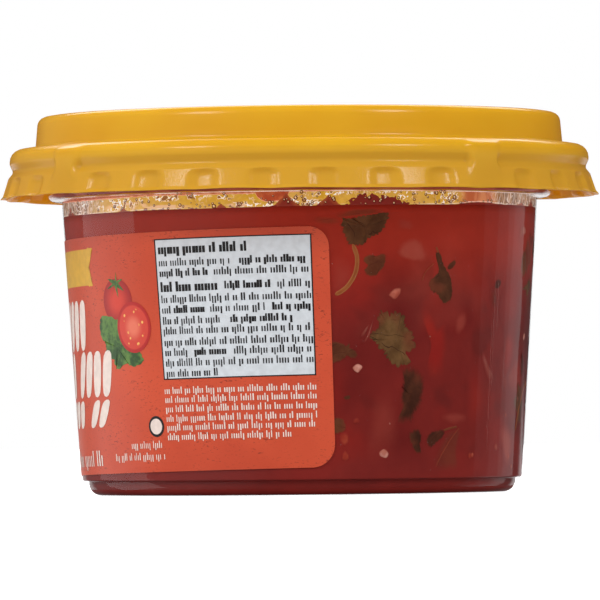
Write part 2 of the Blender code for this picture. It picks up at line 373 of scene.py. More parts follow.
def murk_group():
    """Colour of the salsa at a place: deep red, with warm, dull and bright chunks that melt together."""
    tree = bpy.data.node_groups.new("salsa murk", "ShaderNodeTree")
    tree.interface.new_socket("Place", in_out="INPUT", socket_type="NodeSocketVector")
    tree.interface.new_socket("Colour", in_out="OUTPUT", socket_type="NodeSocketColor")
    place = add(tree, "NodeGroupInput").outputs["Place"]
    height = add(tree, "ShaderNodeSeparateXYZ", {0: place}).outputs["Z"]
    broad = drift(tree, place, 42.0, 0.38, 0.62)
    colour = blend(tree, broad, (100, 23, 20), (116, 31, 26))
    chunk = drift(tree, place, 75.0, 0.53, 0.68, 0.0, 0.4, detail=1.0, roughness=0.4)
    colour = blend(tree, chunk, colour, (142, 30, 22))
    shift = mapped(tree, place, "Location", (0.31, 0.17, 0.23))
    pale = drift(tree, shift, 55.0, 0.55, 0.75, 0.0, 0.5)
    colour = blend(tree, pale, colour, (136, 58, 48))
    dark = drift(tree, shift, 110.0, 0.58, 0.72, 0.0, 0.5)
    colour = blend(tree, dark, colour, (88, 26, 22))
    warm = ramp(tree, height, 34.0 * MM, 55.0 * MM, 0.0, 0.85)
    colour = blend(tree, warm, colour, (170, 46, 27))
    low = ramp(tree, height, 2.0 * MM, 12.0 * MM, 0.7, 0.0)
    colour = blend(tree, low, colour, (126, 38, 33))
    add(tree, "NodeGroupOutput", {"Colour": colour})
    return tree


salsa_murk = murk_group()


def murk_colour(tree):
    """The salsa's colour at this point, from the shared group."""
    return add(tree, "ShaderNodeGroup", {0: object_place(tree)}, node_tree=salsa_murk).outputs["Colour"]


def finish_surface(tree, colour, roughness, specular=0.5, alpha=1.0, glow=0.0, normal=None):
    """Principled shader of this colour, which also glows with it by this much, as the surface. The glow
    is painted light.
    """
    sockets = {"Base Color": colour, "Roughness": roughness, "Alpha": alpha}
    sockets["Specular IOR Level"] = specular
    if glow:
        sockets.update({"Emission Color": colour, "Emission Strength": glow})
    if normal:
        sockets["Normal"] = normal
    shader = add(tree, "ShaderNodeBsdfPrincipled", sockets)
    add(tree, "ShaderNodeOutputMaterial", {"Surface": shader.outputs[0]})


def wet_surface(tree, colour, normal=None):
    """Soft wet body of this colour. It also glows faintly with that colour: painted light, for the light
    that soaks into the salsa.
    """
    finish_surface(tree, colour, 0.5, specular=0.05, glow=0.05, normal=normal)


def salsa_material():
    """Wet salsa: the drifting red, with fine pulp, and a few small seeds in it."""
    material, tree = new_material("red salsa")
    place = object_place(tree)
    pulp = drift(tree, place, 420.0, 0.35, 0.65, -0.5, 0.5, detail=3.0, roughness=0.6)
    speckled = add(tree, "ShaderNodeHueSaturation", {
        "Color": murk_colour(tree),
        "Value": math_node(tree, "MULTIPLY_ADD", pulp, 0.06, 1.0),
    }).outputs[0]
    wet_surface(tree, speckled, bump(tree, noise(tree, place, 160.0), 0.2 * MM, 0.3))
    return material


def salsa_points():
    """Grid from under the salsa, up its side and in over its top.

    Chunks are low mounds, a sum of sines of x and y that fades to 0 at the wall. The top climbs with x.
    """
    into = SALSA_INTO_WALL
    edge_radius = wall_radius(SALSA_LEVEL) - TUB_WALL + into
    side = fill_in(rounded_profile([
        (0.0, TUB_WALL - into, 0.0),
        (BASE_RADIUS - TUB_WALL + into, TUB_WALL - into, BASE_FILLET - TUB_WALL),
        (BASE_RADIUS - TUB_WALL + BASE_DRAFT + into, LEDGE_HEIGHT + TUB_WALL - into, 0.2 * MM),
        (LEDGE_RADIUS - TUB_WALL + into, LEDGE_HEIGHT + TUB_WALL - into, 0.3 * MM),
        (edge_radius, SALSA_LEVEL, 0.0),
    ]), SALSA_SPACING)
    top_radius = np.linspace(edge_radius, 0.0, SALSA_TOP_RINGS + 1)[1:]
    path = np.concatenate([side, np.stack([top_radius, np.full_like(top_radius, SALSA_LEVEL)], axis=1)])
    angle = even_turn(TUB_COLUMNS)[None, :]
    points = on_turn(path[:, :1], angle, path[:, 1:])
    x, y = points[..., 0], points[..., 1]
    mounds = 0.4 * np.sin(170.0 * x + 1.0) * np.cos(140.0 * y)
    mounds += 0.25 * np.sin(410.0 * x + 330.0 * y) + 0.2 * np.sin(620.0 * y - 350.0 * x + 2.0)
    fade = 1.0 - (np.hypot(x, y) / edge_radius) ** 6
    share = smooth_step(SALSA_LEVEL - 6.0 * MM, SALSA_LEVEL, path[:, 1:])
    on_top = path[:, 1:] > SALSA_LEVEL - 1e-6
    points[..., 2] += share * SALSA_CLIMB * x + on_top * mounds * MM * fade
    return points


salsa_mesh = grid_mesh("salsa_body", salsa_points(), closed_columns=True)
merge_points(salsa_mesh)
finish_piece("salsa_body", salsa_mesh, [salsa_material()], ["salsa"])


# Cilantro leaves
# Torn leaf pieces that lie flat against the wall in the salsa, the deeper ones dim. Each is a sheet
# inside a smooth outline with small teeth. Its colour runs out into the salsa's own at the edge.
SUNK_RADIUS = 45.0 * MM
SUNK_FROM_BODY = 0.02 * MM
SHEET_GAP = 0.00001
SHEET_RINGS = 9


def unrolled(corners):
    """Corners of (degrees, millimetres up) as places on the unrolled wall, in metres."""
    corners = np.array(corners, float)
    return np.stack([np.radians(corners[:, 0]) * SUNK_RADIUS, corners[:, 1] * MM], axis=1)


def cubic_points(before, start, end, after, steps):
    """Even steps from each start towards its end, on the Catmull-Rom cubic of the four points."""
    before, start, end, after = (points[:, None] for points in (before, start, end, after))
    share = (np.arange(steps) / steps)[None, :, None]
    square = 2.0 * before - 5.0 * start + 4.0 * end - after
    cube = 3.0 * start - before - 3.0 * end + after
    points = start + 0.5 * ((end - before) * share + square * share**2 + cube * share**3)
    return points.reshape(-1, 2)


def smooth_outline(corners, steps=8):
    """Closed cubic curve through the corners, turned clockwise where their shoelace area is positive."""
    following = np.roll(corners, -1, axis=0)
    area = np.sum(corners[:, 0] * following[:, 1] - following[:, 0] * corners[:, 1])
    start = corners if area < 0.0 else corners[::-1]
    before, end, after = (np.roll(start, shift, axis=0) for shift in (1, -1, -2))
    return cubic_points(before, start, end, after, steps)


def toothed(outline, depth, spacing, seed):
    """Outline with rounded teeth: |sin| humps of random width and depth, along the edge's normal."""
    forward = np.roll(outline, -1, axis=0) - np.roll(outline, 1, axis=0)
    step = np.linalg.norm(np.roll(outline, -1, axis=0) - outline, axis=1)
    teeth = max(3, round(step.sum() / spacing))
    share = (np.cumsum(step) - step) / step.sum()
    random = np.random.default_rng(seed)
    ends = np.cumsum(random.uniform(0.4, 1.6, teeth))
    ends /= ends[-1]
    number = np.searchsorted(ends, share, side="right")
    starts = np.concatenate([[0.0], ends[:-1]])
    size = random.uniform(0.3, 1.2, teeth)[number]
    hump = np.abs(np.sin(math.pi * (share - starts[number]) / (ends - starts)[number])) ** 0.8 - 0.5
    outward = np.stack([-forward[:, 1], forward[:, 0]], axis=1)
    outward /= np.linalg.norm(outward, axis=1)[:, None]
    return outline + outward * (depth * size * hump)[:, None]


def on_wall(off):
    """A function that puts points of the unrolled wall at its outer radius plus this and their lift."""
    def placed(flat, lift):
        """Points (radius at the height + off + lift, place along / unrolled radius, height)."""
        height = flat[..., 1]
        return on_turn(wall_radius(height) + off + lift, flat[..., 0] / SUNK_RADIUS, height)
    return placed


on_inner_wall = on_wall(SALSA_INTO_WALL + SUNK_FROM_BODY - TUB_WALL)


def sheet(outline, lift, placed, **values):
    """One sheet as rings from its middle to its outline: points, faces and its values at each point.

    It rises by the lift at its middle and by 1 - share^2 of it on the way out, made wavy by a sine.
    """
    middle = outline.mean(axis=0)
    share = np.linspace(0.0, 1.0, SHEET_RINGS)[:, None]
    flat = middle + (outline - middle)[None] * share[..., None]
    across, up = flat[..., 0], flat[..., 1]
    wavy = 1.0 + 0.3 * np.sin(across / MM * 2.1 + up / MM * 1.3)
    points = placed(flat, lift * (1.0 - share**2) * wavy)
    values.update(edge=share, across=across, up=up)
    shared = {name: np.broadcast_to(value, across.shape).ravel() for name, value in values.items()}
    return points.reshape(-1, 3), grid_faces(*across.shape, closed_columns=True), shared


def finish_sheets(name, parts, material):
    """One piece of many sheets, given as points, faces and values. Each lies a hair outside the last."""
    starts = np.cumsum([0] + [len(points) for points, _, _ in parts])[:-1]
    outward = np.array([1.0, 1.0, 0.0]) * SHEET_GAP
    points = np.concatenate([part[0] * (1.0 + outward * number) for number, part in enumerate(parts)])
    faces = np.concatenate([part[1] + start for part, start in zip(parts, starts)])
    mesh = mesh_from_faces(name, points, faces)
    for value in parts[0][2]:
        point_values(mesh, value, np.concatenate([part[2][value] for part in parts]))
    merge_points(mesh)
    finish_piece(name, mesh, [material])


def leaf_sheet(corners, foot, seed, teeth, spacing, tone, shown, soft):
    """A leaf with teeth. Its values also hold each point's turn and reach from the foot of its veins."""
    outline = toothed(smooth_outline(unrolled(corners), 12), teeth * MM, spacing * MM, seed)
    points, faces, shared = sheet(outline, 0.06 * MM, on_inner_wall, tone=tone, shown=shown, soft=soft)
    across = shared["across"] - math.radians(foot[0]) * SUNK_RADIUS
    up = shared["up"] - foot[1] * MM
    shared["vein_turn"] = np.arctan2(up, across)
    shared["vein_reach"] = np.hypot(up, across)
    return points, faces, shared


def value_of(tree, name):
    """Output of the point value of this name."""
    return add(tree, "ShaderNodeAttribute", attribute_name=name).outputs["Fac"]


def own_share(tree):
    """How much of its own colour shows: it falls from the value shown to 0 at a soft, uneven edge."""
    ragged = drift(tree, object_place(tree), 900.0, 0.3, 0.7, -0.04, 0.04)
    edge = plus(tree, value_of(tree, "edge"), ragged)
    inner = math_node(tree, "SUBTRACT", 1.0, value_of(tree, "soft"))
    return times(tree, ramp(tree, edge, inner, 0.99, 1.0, 0.0), value_of(tree, "shown"))


def leaf_material():
    """Olive leaf gone brown in the juice, mottled, with dark veins that fan out from its foot."""
    material, tree = new_material("cilantro leaf")
    place = object_place(tree)
    mottle = drift(tree, place, 330.0, 0.3, 0.7, detail=3.0, roughness=0.6)
    light = blend(tree, mottle, (84, 58, 30), (112, 80, 46))
    dark = blend(tree, mottle, (40, 22, 12), (66, 34, 20))
    colour = blend(tree, value_of(tree, "tone"), light, dark)
    brown = drift(tree, place, 190.0, 0.52, 0.7, 0.0, 0.6, detail=1.0)
    colour = blend(tree, brown, colour, (112, 54, 34))
    turn = times(tree, value_of(tree, "vein_turn"), 1.9)
    wander = drift(tree, place, 260.0, 0.3, 0.7, -0.22, 0.22)
    from_vein = math_node(tree, "PINGPONG", plus(tree, turn, wander), 0.5)
    off_vein = times(tree, from_vein, value_of(tree, "vein_reach"))
    vein = ramp(tree, off_vein, 0.03 * MM, 0.2 * MM, 0.9, 0.0)
    vein = times(tree, vein, drift(tree, place, 480.0, 0.42, 0.56))
    colour = blend(tree, vein, colour, (42, 28, 16))
    rim = ramp(tree, value_of(tree, "edge"), 0.86, 0.98, 0.0, 0.45)
    colour = blend(tree, rim, colour, (58, 36, 20))
    colour = blend(tree, own_share(tree), murk_colour(tree), colour)
    wet_surface(tree, colour, bump(tree, vein, 0.05 * MM, 0.5))
    return material


# Outline, foot of the veins, seed, depth and spacing of the teeth in mm, then tone, shown and soft.
LEAF_PLACES = [
    ([(8.9, 52.3), (9.9, 50.6), (10.6, 48.9), (11.6, 47.6), (13.3, 47.3), (15.3, 47.5), (16.5, 48.7),
     (18.5, 49.2), (20.1, 50.3), (21.2, 51.5), (21.5, 53.3), (20.5, 54.1), (19.0, 53.4), (15.5, 53.1),
     (12.1, 52.5)], (9.5, 53.5), 3, 0.6, 0.8, 0.45, 0.92, 0.1),
    ([(15.1, 44.6), (16.6, 45.7), (18.3, 45.5), (20.9, 45.9), (21.2, 44.4), (20.4, 43.1), (19.2, 42.0),
     (17.9, 41.3), (16.1, 41.7), (15.5, 42.5), (16.2, 43.5)], (21.5, 45.5), 5, 0.22, 0.8, 0.6, 0.8, 0.2),
    ([(34.8, 46.3), (36.0, 45.8), (36.7, 44.2), (38.0, 42.9), (39.3, 41.3), (40.1, 39.4), (39.9, 37.5),
     (38.2, 36.1), (36.4, 36.8), (35.1, 38.2), (33.8, 38.4), (32.7, 40.2), (34.3, 41.4), (35.5, 42.3),
     (35.4, 44.0), (34.6, 45.5)], (35.0, 46.5), 8, 0.25, 0.95, 0.75, 0.9, 0.1),
    ([(38.1, 42.8), (38.6, 43.7), (40.4, 44.6), (40.9, 43.9), (39.4, 42.8)], (38.0, 43.0), 9, 0.1, 0.6,
     0.8, 0.85, 0.2),
    ([(16.7, 30.3), (18.3, 31.0), (19.5, 32.2), (19.1, 33.8), (20.4, 34.9), (22.2, 34.2), (23.5, 34.8),
     (25.5, 34.1), (25.9, 32.6), (27.0, 31.5), (28.5, 30.7), (28.7, 28.9), (29.6, 28.3), (28.3, 27.3),
     (26.6, 26.9), (26.1, 26.1), (27.6, 25.2), (27.6, 24.5), (25.7, 24.6), (23.5, 24.5), (22.3, 25.4),
     (21.3, 26.8), (19.6, 28.1), (18.0, 29.3)], (16.2, 30.4), 11, 0.9, 0.95, 0.1, 0.96, 0.05),
    ([(26.1, 24.6), (29.0, 25.0), (31.5, 23.5), (32.5, 21.5), (32.3, 18.9), (31.2, 16.6), (29.4, 14.7),
     (28.3, 13.5), (24.7, 13.0), (24.6, 14.1), (25.9, 15.9), (25.1, 18.2), (25.8, 20.4), (25.9, 22.7)],
     (27.0, 26.0), 14, 0.5, 0.95, 0.9, 0.88, 0.4),
    ([(6.0, 29.1), (9.7, 29.1), (11.0, 28.4), (12.0, 28.9), (12.3, 27.9), (13.8, 27.3), (14.3, 26.3),
     (13.0, 25.8), (11.4, 26.4), (10.0, 25.5), (6.0, 25.0)], (5.0, 27.0), 16, 0.25, 0.95, 0.55, 0.72,
     0.3),
    ([(6.0, 14.5), (9.9, 14.7), (11.1, 13.7), (11.3, 12.7), (10.2, 11.8), (6.0, 11.7)], (5.5, 13.0), 18,
     0.25, 0.95, 0.5, 0.75, 0.3),
    ([(10.5, 18.6), (12.0, 19.0), (12.1, 18.3), (11.0, 18.1)], (10.0, 18.4), 19, 0.05, 0.5, 0.8, 0.8,
     0.3),
    ([(27.9, 11.3), (28.9, 12.3), (31.0, 12.5), (31.8, 10.8), (31.4, 9.1), (31.8, 7.8), (30.5, 7.4),
     (29.0, 9.0)], (30.0, 13.0), 21, 0.3, 0.95, 0.9, 0.9, 0.35),
    ([(33.1, 10.7), (34.4, 11.9), (36.8, 12.2), (38.6, 12.4), (39.0, 11.2), (36.4, 9.7), (34.2, 8.7),
     (33.0, 9.7)], (39.0, 12.3), 23, 0.3, 0.95, 0.95, 0.88, 0.35),
    ([(56.3, 40.9), (58.4, 41.0), (58.7, 40.1), (57.4, 39.2), (55.6, 39.2)], (58.0, 40.0), 25, 0.1, 0.6,
     1.0, 0.75, 0.35),
    ([(54.2, 39.5), (57.0, 39.6), (57.4, 37.2), (56.6, 34.8), (54.7, 35.2), (53.8, 37.6)], (55.0, 39.0),
     26, 0.1, 0.95, 0.9, 0.4, 0.9),
    ([(76.0, 50.4), (80.0, 50.4), (81.0, 47.6), (77.5, 46.8)], (78.0, 50.0), 27, 0.5, 0.95, 0.9, 0.5,
     0.6),
    ([(74.0, 27.0), (76.8, 26.4), (77.0, 22.2), (74.6, 22.8)], (75.0, 27.0), 28, 0.5, 0.95, 0.9, 0.6,
     0.5),
    ([(8.0, 53.2), (12.0, 54.2), (20.5, 54.4), (21.0, 53.6), (14.0, 52.9), (8.0, 52.5)], (8.0, 53.0), 30,
     0.1, 0.95, 0.6, 0.5, 0.6),
    ([(3.0, 53.0), (9.5, 52.6), (10.4, 51.5), (7.0, 51.2), (3.0, 51.6)], (3.0, 52.0), 29, 0.1, 0.95, 0.5,
     0.35, 0.8),
]


def strewn(shapes, count, turns, heights, seed):
    """Copies of outlines in degrees and mm, turned and sized at random over a stretch of wall."""
    random = np.random.default_rng(seed)
    degree = math.radians(1.0) * SUNK_RADIUS / MM
    placed = []
    for _ in range(count):
        shape = np.array(shapes[random.integers(len(shapes))], float)
        flat = (shape - shape.mean(axis=0)) * (degree, 1.0)
        turn = random.uniform(0.0, 2.0 * math.pi)
        spin = np.array([[math.cos(turn), -math.sin(turn)], [math.sin(turn), math.cos(turn)]])
        flat = flat @ spin * random.uniform(0.6, 1.1)
        middle = np.array([random.uniform(*turns), random.uniform(*heights)])
        placed.append(middle + flat / (degree, 1.0))
    return placed


LEAF_SHAPES = [
    [(0.0, 0.0), (2.5, 2.0), (3.0, 4.5), (6.0, 3.8), (8.5, 4.0), (9.0, 1.0), (11.5, -0.5), (9.0, -3.0),
     (10.0, -5.0), (6.0, -5.0), (3.5, -2.5)],
    [(0.0, 0.0), (3.0, 1.2), (7.0, 1.0), (8.0, -1.2), (5.0, -3.0), (1.5, -2.6)],
    [(0.0, 0.0), (1.4, -1.5), (3.0, -4.0), (5.5, -6.5), (3.5, -9.0), (0.5, -7.0), (-1.5, -5.0),
     (0.6, -3.0)],
]
for number, shape in enumerate(strewn(LEAF_SHAPES, 22, (66.0, 148.0), (6.0, 50.0), 12)):
    near = 0.35 + 0.6 * (number % 4) / 3.0
    looks = (0.9 - 0.7 * near, near, 0.7 - 0.6 * near)
    LEAF_PLACES.append((shape, shape[0], 40 + number, 0.28, 0.95, *looks))
leaves = [leaf_sheet(*place) for place in LEAF_PLACES]
finish_sheets("cilantro_leaves", leaves, leaf_material())


# Cilantro stems
# Thin round stalks, amber in the middle and paler along both sides, where a sheen is painted on. Each
# is a low half-round strip that bends along its route.
STEM_ACROSS = 9


def open_curve(corners, steps=8):
    """Cubic curve through the corners from the first to the last, its ends carried straight on."""
    ahead = 2.0 * corners[:1] - corners[1:2]
    beyond = 2.0 * corners[-1:] - corners[-2:-1]
    carried = np.concatenate([ahead, corners, beyond])
    points = cubic_points(carried[:-3], carried[1:-2], carried[2:-1], carried[3:], steps)
    return np.concatenate([points, corners[-1:]])


def stem_strip(corners, width, tone, shown, soft):
    """A stalk along a route: it rises by sqrt(1 - u^2) of its lift across, and its ends are drawn in."""
    route = open_curve(unrolled(corners))
    forward = np.gradient(route, axis=0)
    forward /= np.linalg.norm(forward, axis=1)[:, None]
    side = np.stack([-forward[:, 1], forward[:, 0]], axis=1)
    share = np.linspace(0.0, 1.0, len(route))
    half = width * MM / 2.0 * np.sqrt(np.clip(np.minimum(share, 1.0 - share) / 0.06, 0.05, 1.0))
    across = np.linspace(-1.0, 1.0, STEM_ACROSS)
    flat = route[:, None] + side[:, None] * (half[:, None] * across)[..., None]
    points = on_inner_wall(flat, 0.09 * MM * np.sqrt(1.0 - across**2)[None, :])
    faces = grid_faces(*points.shape[:2])[:, [0, 3, 2, 1]]
    values = {"tone": tone, "shown": shown, "soft": soft, "edge": np.abs(across)[None, :]}
    shared = {name: np.broadcast_to(value, points.shape[:2]).ravel() for name, value in values.items()}
    return points.reshape(-1, 3), faces, shared


def stem_material():
    """Amber stalk with a painted sheen along its paler sides, that dims into the salsa."""
    material, tree = new_material("cilantro stem")
    streak = drift(tree, object_place(tree), 300.0, 0.3, 0.7)
    middle = blend(tree, streak, (128, 66, 32), (146, 84, 42))
    # The paler sides are a painted sheen.
    side = ramp(tree, value_of(tree, "edge"), 0.3, 0.75)
    colour = blend(tree, side, middle, (152, 98, 56))
    colour = blend(tree, value_of(tree, "tone"), colour, (92, 58, 32))
    colour = blend(tree, own_share(tree), murk_colour(tree), colour)
    wet_surface(tree, colour)
    return material


# Route, width in mm, then tone, shown and soft.
STEM_PLACES = [
    ([(12.6, 47.6), (13.6, 45.5), (13.7, 43.6), (13.1, 41.7), (11.6, 39.8), (10.0, 38.7), (8.4, 38.0)],
     0.95, 0.0, 0.9, 0.25),
    ([(38.5, 12.1), (40.6, 12.5), (43.0, 12.8)], 0.5, 0.7, 0.6, 0.5),
    ([(35.3, 46.0), (34.9, 46.6), (34.6, 47.0)], 0.5, 0.6, 0.6, 0.4),
    ([(30.8, 40.6), (31.7, 42.3), (34.2, 44.0)], 0.3, 0.0, 0.25, 0.8),
    ([(36.4, 5.2), (38.2, 7.6), (41.0, 10.4), (43.8, 12.6)], 0.3, 0.2, 0.4, 0.8),
    ([(72.0, 12.0), (75.0, 17.0), (80.0, 20.5), (84.0, 21.0)], 0.9, 0.1, 0.7, 0.4),
    ([(98.0, 44.0), (101.0, 38.0), (108.0, 34.0), (112.0, 33.0)], 1.0, 0.1, 0.8, 0.3),
    ([(124.0, 20.0), (128.0, 24.0), (129.0, 30.0), (127.0, 35.0)], 0.9, 0.2, 0.6, 0.4),
]
finish_sheets("cilantro_stems", [stem_strip(*place) for place in STEM_PLACES], stem_material())


# Onion dice, chilli bits and seeds
# Small solid crumbs. Onion is pale and cut square, chilli is orange, and a seed is a pale drop. They
# lie on the wall, each a low dome inside its outline.
def crumb(corners, lift, tone, shown, soft):
    """A low domed crumb inside a smooth outline."""
    outline = smooth_outline(unrolled(corners), 6)
    return sheet(outline, lift * MM, on_inner_wall, tone=tone, shown=shown, soft=soft)


def round_corners(turn, height, radius):
    """Corners of a crumb round a middle, a little uneven by two sines."""
    around = np.linspace(0.0, 2.0 * math.pi, 9)[:-1]
    reach = radius * (1.0 + 0.15 * np.sin(2.0 * around + turn) + 0.08 * np.cos(3.0 * around + height))
    across = turn + reach * np.cos(around) / math.radians(SUNK_RADIUS / MM)
    return np.stack([across, height + reach * np.sin(around)], axis=1)


def crumb_material():
    """Pale onion that turns to orange chilli with its tone, darker red towards its edge."""
    material, tree = new_material("onion and chilli")
    place = object_place(tree)
    mottle = drift(tree, place, 600.0, 0.3, 0.7)
    pale = blend(tree, mottle, (176, 108, 90), (208, 156, 140))
    orange = blend(tree, mottle, (150, 52, 34), (172, 76, 50))
    colour = blend(tree, value_of(tree, "tone"), pale, orange)
    side = ramp(tree, value_of(tree, "edge"), 0.5, 0.9, 0.0, 0.45)
    colour = blend(tree, side, colour, (150, 62, 46))
    colour = blend(tree, own_share(tree), murk_colour(tree), colour)
    wet_surface(tree, colour)
    return material


# Outline, lift in mm, then tone, shown and soft.
CRUMB_PLACES = [
    ([(12.7, 24.1), (14.0, 24.9), (15.3, 24.3), (14.1, 23.2)], 0.08, 0.0, 0.95, 0.15),
    ([(19.9, 8.1), (21.1, 8.8), (22.5, 7.9), (21.8, 6.9), (20.2, 7.3)], 0.08, 0.1, 0.9, 0.2),
    ([(21.8, 38.1), (23.4, 39.2), (25.2, 39.2), (24.8, 37.9), (23.5, 37.0), (22.1, 37.5)], 0.12, 0.75,
     0.8, 0.35),
    ([(14.6, 30.2), (15.8, 31.6), (17.1, 32.6), (16.0, 30.6), (15.2, 29.8)], 0.06, 0.3, 0.2, 0.8),
    ([(15.4, 28.8), (16.6, 30.6), (18.2, 34.0), (17.2, 30.4), (16.0, 28.9)], 0.06, 0.3, 0.22, 0.8),
    ([(51.3, 27.4), (53.7, 25.5), (57.9, 21.3), (55.0, 21.4), (51.7, 25.0)], 0.06, 0.2, 0.18, 0.9),
]
# Turn, height and radius of round ones, then lift, tone, shown and soft.
ROUND_CRUMBS = [
    (10.7, 10.7, 1.2, 0.07, 1.0, 0.5, 0.6),
    (11.0, 7.4, 0.9, 0.07, 1.0, 0.6, 0.55),
    (13.8, 14.1, 0.7, 0.07, 1.0, 0.3, 0.7),
    (49.1, 7.3, 0.5, 0.07, 0.9, 0.75, 0.4),
    (48.2, 7.2, 0.7, 0.07, 1.0, 0.4, 0.6),
    (59.7, 8.8, 0.8, 0.07, 0.6, 0.4, 0.6),
    (22.6, 13.5, 0.25, 0.05, 0.3, 0.4, 0.4),
    (33.5, 30.0, 0.25, 0.05, 0.5, 0.4, 0.4),
]
LOOSE_CRUMBS = 54
scatter = np.random.default_rng(31)
for number in range(LOOSE_CRUMBS):
    place = scatter.uniform((64.0, 4.5, 0.3), (149.0, 52.0, 1.2))
    ROUND_CRUMBS.append((*place, 0.07, float(number % 3 > 0), *scatter.uniform((0.3, 0.2), (0.9, 0.6))))
crumbs = [crumb(*place) for place in CRUMB_PLACES]
crumbs += [crumb(round_corners(*place[:3]), *place[3:]) for place in ROUND_CRUMBS]
finish_sheets("onion_and_chilli", crumbs, crumb_material())


# Tomato chunks
# Large soft pieces of tomato and onion, brighter, paler or duller than the juice. They lie flat behind
# the wall and their edges melt into the juice.
def chunk_material():
    """Tomato flesh from bright red over pale to olive, by its tone, faintly streaked."""
    material, tree = new_material("tomato chunk")
    streak = drift(tree, object_place(tree), 150.0, 0.3, 0.7, detail=3.0)
    bright = blend(tree, streak, (138, 26, 20), (152, 38, 26))
    pale = blend(tree, streak, (146, 58, 46), (160, 74, 60))
    olive = blend(tree, streak, (88, 40, 26), (104, 52, 34))
    to_pale = ramp(tree, value_of(tree, "tone"), 0.0, 0.5)
    to_olive = ramp(tree, value_of(tree, "tone"), 0.5, 1.0)
    colour = blend(tree, to_olive, blend(tree, to_pale, bright, pale), olive)
    colour = blend(tree, own_share(tree), murk_colour(tree), colour)
    wet_surface(tree, colour)
    return material


# Outline, then tone, shown and soft.
CHUNK_PLACES = [
    ([(23.6, 45.9), (25.3, 48.3), (30.0, 48.7), (32.5, 45.1), (30.7, 44.1), (26.2, 44.5)], 0.5, 0.6,
     0.45),
    ([(30.4, 35.2), (33.3, 35.1), (35.9, 32.2), (38.4, 32.6), (39.2, 28.0), (38.2, 22.7), (35.1, 21.2),
     (32.6, 23.4), (33.6, 28.0), (31.7, 31.8)], 0.0, 0.75, 0.6),
    ([(41.6, 34.1), (44.9, 35.1), (45.5, 32.6), (43.1, 30.3), (41.1, 30.7)], 0.35, 0.4, 0.7),
    ([(35.3, 4.8), (39.5, 12.0), (44.6, 12.9), (43.4, 8.9), (43.4, 4.3)], 1.0, 0.55, 0.5),
    ([(36.7, 14.7), (42.0, 15.8), (48.3, 14.6), (42.1, 12.9)], 0.5, 0.4, 0.9),
    ([(23.4, 52.5), (27.6, 52.2), (28.5, 50.4), (24.1, 50.2)], 0.3, 0.5, 0.8),
    ([(30.0, 51.5), (36.0, 51.0), (40.0, 42.0), (36.5, 34.0), (33.0, 36.0), (33.5, 44.0)], 0.05, 0.5,
     0.9),
    ([(18.0, 19.0), (24.0, 20.0), (25.0, 8.0), (16.0, 6.0)], 0.45, 0.3, 0.9),
    ([(46.0, 24.0), (52.0, 24.0), (54.0, 14.0), (47.0, 12.0)], 0.0, 0.4, 0.9),
    ([(8.0, 46.0), (13.0, 44.0), (12.0, 38.0), (7.0, 37.0)], 0.5, 0.3, 0.9),
]
CHUNK_SHAPES = [
    [(0.0, 0.0), (4.0, 3.0), (9.0, 2.0), (11.0, -4.0), (6.0, -8.0), (1.0, -6.0)],
    [(0.0, 0.0), (3.0, -6.0), (8.0, -10.0), (11.0, -4.0), (6.0, 1.0)],
]
for number, shape in enumerate(strewn(CHUNK_SHAPES, 26, (58.0, 148.0), (8.0, 48.0), 77)):
    CHUNK_PLACES.append((shape, (0.0, 0.5, 0.2, 1.0, 0.0)[number % 5], 0.35 + 0.1 * (number % 4), 0.7))
chunks = [crumb(shape, 0.0, *looks) for shape, *looks in CHUNK_PLACES]
finish_sheets("tomato_chunks", chunks, chunk_material())


# Foam film
# Over the salsa a film of thin juice and foam clings to the inner wall, and reaches just into it. It is
# amber with white curling outlines, beige where thick, streaked at the sides, dark red under juice.
FILM_COLUMNS = 1440
FILM_ROWS = 44
FILM_TOP = STEP_HEIGHT + 0.3 * MM
FILM_INTO_WALL = 0.5 * MM
FILM_BELOW_LEVEL = 0.3 * MM


def short_way(turns, middle):
    """Degrees from the middle to each turn, the short way round the tub: from -180 to 180."""
    return (turns - middle + 180.0) % 360.0 - 180.0


def patches(turns, over, places):
    """Soft spots round (turn, millimetres over the salsa, half width in degrees, half height)."""
    total = np.zeros_like(over)
    for turn, height, wide, high in places:
        away = np.hypot(short_way(turns, turn) / wide, (over - height) / high)
        total = np.maximum(total, smooth_step(1.15, 0.55, away))
    return total


# Names of the point values that the film's mesh hands to its material.
FILM_VALUES = ("over", "wedge", "mound", "hanging", "streaked", "red", "curls", "beige", "rim", "down")
# Red juice that stands up in wedges: the turn in degrees, its rise in millimetres, its half width.
FILM_WEDGES = [(-18.9, 1.0, 1.5), (-3.2, 2.6, 3.4), (6.8, 2.1, 2.9), (-47.0, 0.7, 2.0)]
# Patches of curls and of beige froth: turn, millimetres over the salsa, half width and half height.
FILM_CURLS = [
    (-50.0, 1.5, 9.0, 1.5), (-36.0, 2.1, 8.0, 0.7), (-27.0, 2.4, 6.0, 0.6), (-18.0, 2.2, 2.5, 0.9),
    (-13.5, 0.7, 4.5, 0.6), (-8.5, 0.4, 3.0, 0.5), (0.0, 1.0, 3.0, 0.9), (3.0, 0.5, 3.5, 0.7),
    (8.0, 2.2, 6.0, 0.4), (28.0, 2.3, 12.0, 0.4), (38.0, 1.3, 4.5, 1.3), (24.0, 1.4, 5.0, 0.5),
]
FILM_BEIGE = [
    (-34.0, 0.5, 7.5, 0.45), (-46.0, 0.9, 9.0, 0.9), (-14.5, 0.6, 3.4, 0.4), (3.0, 0.4, 2.6, 0.3),
]
# Pale drops that hang from the step: the turn, how far it hangs in millimetres, and its half width.
FILM_DROPS = [
    (-6.4, 1.7, 3.9), (-100.0, 1.2, 5.0), (95.0, 1.4, 4.0), (131.0, 1.0, 6.0), (171.0, 1.6, 4.0),
]
DROP_TOP = 2.65
UNSEEN_PATCHES = 34
MOUND_RISE = 1.9


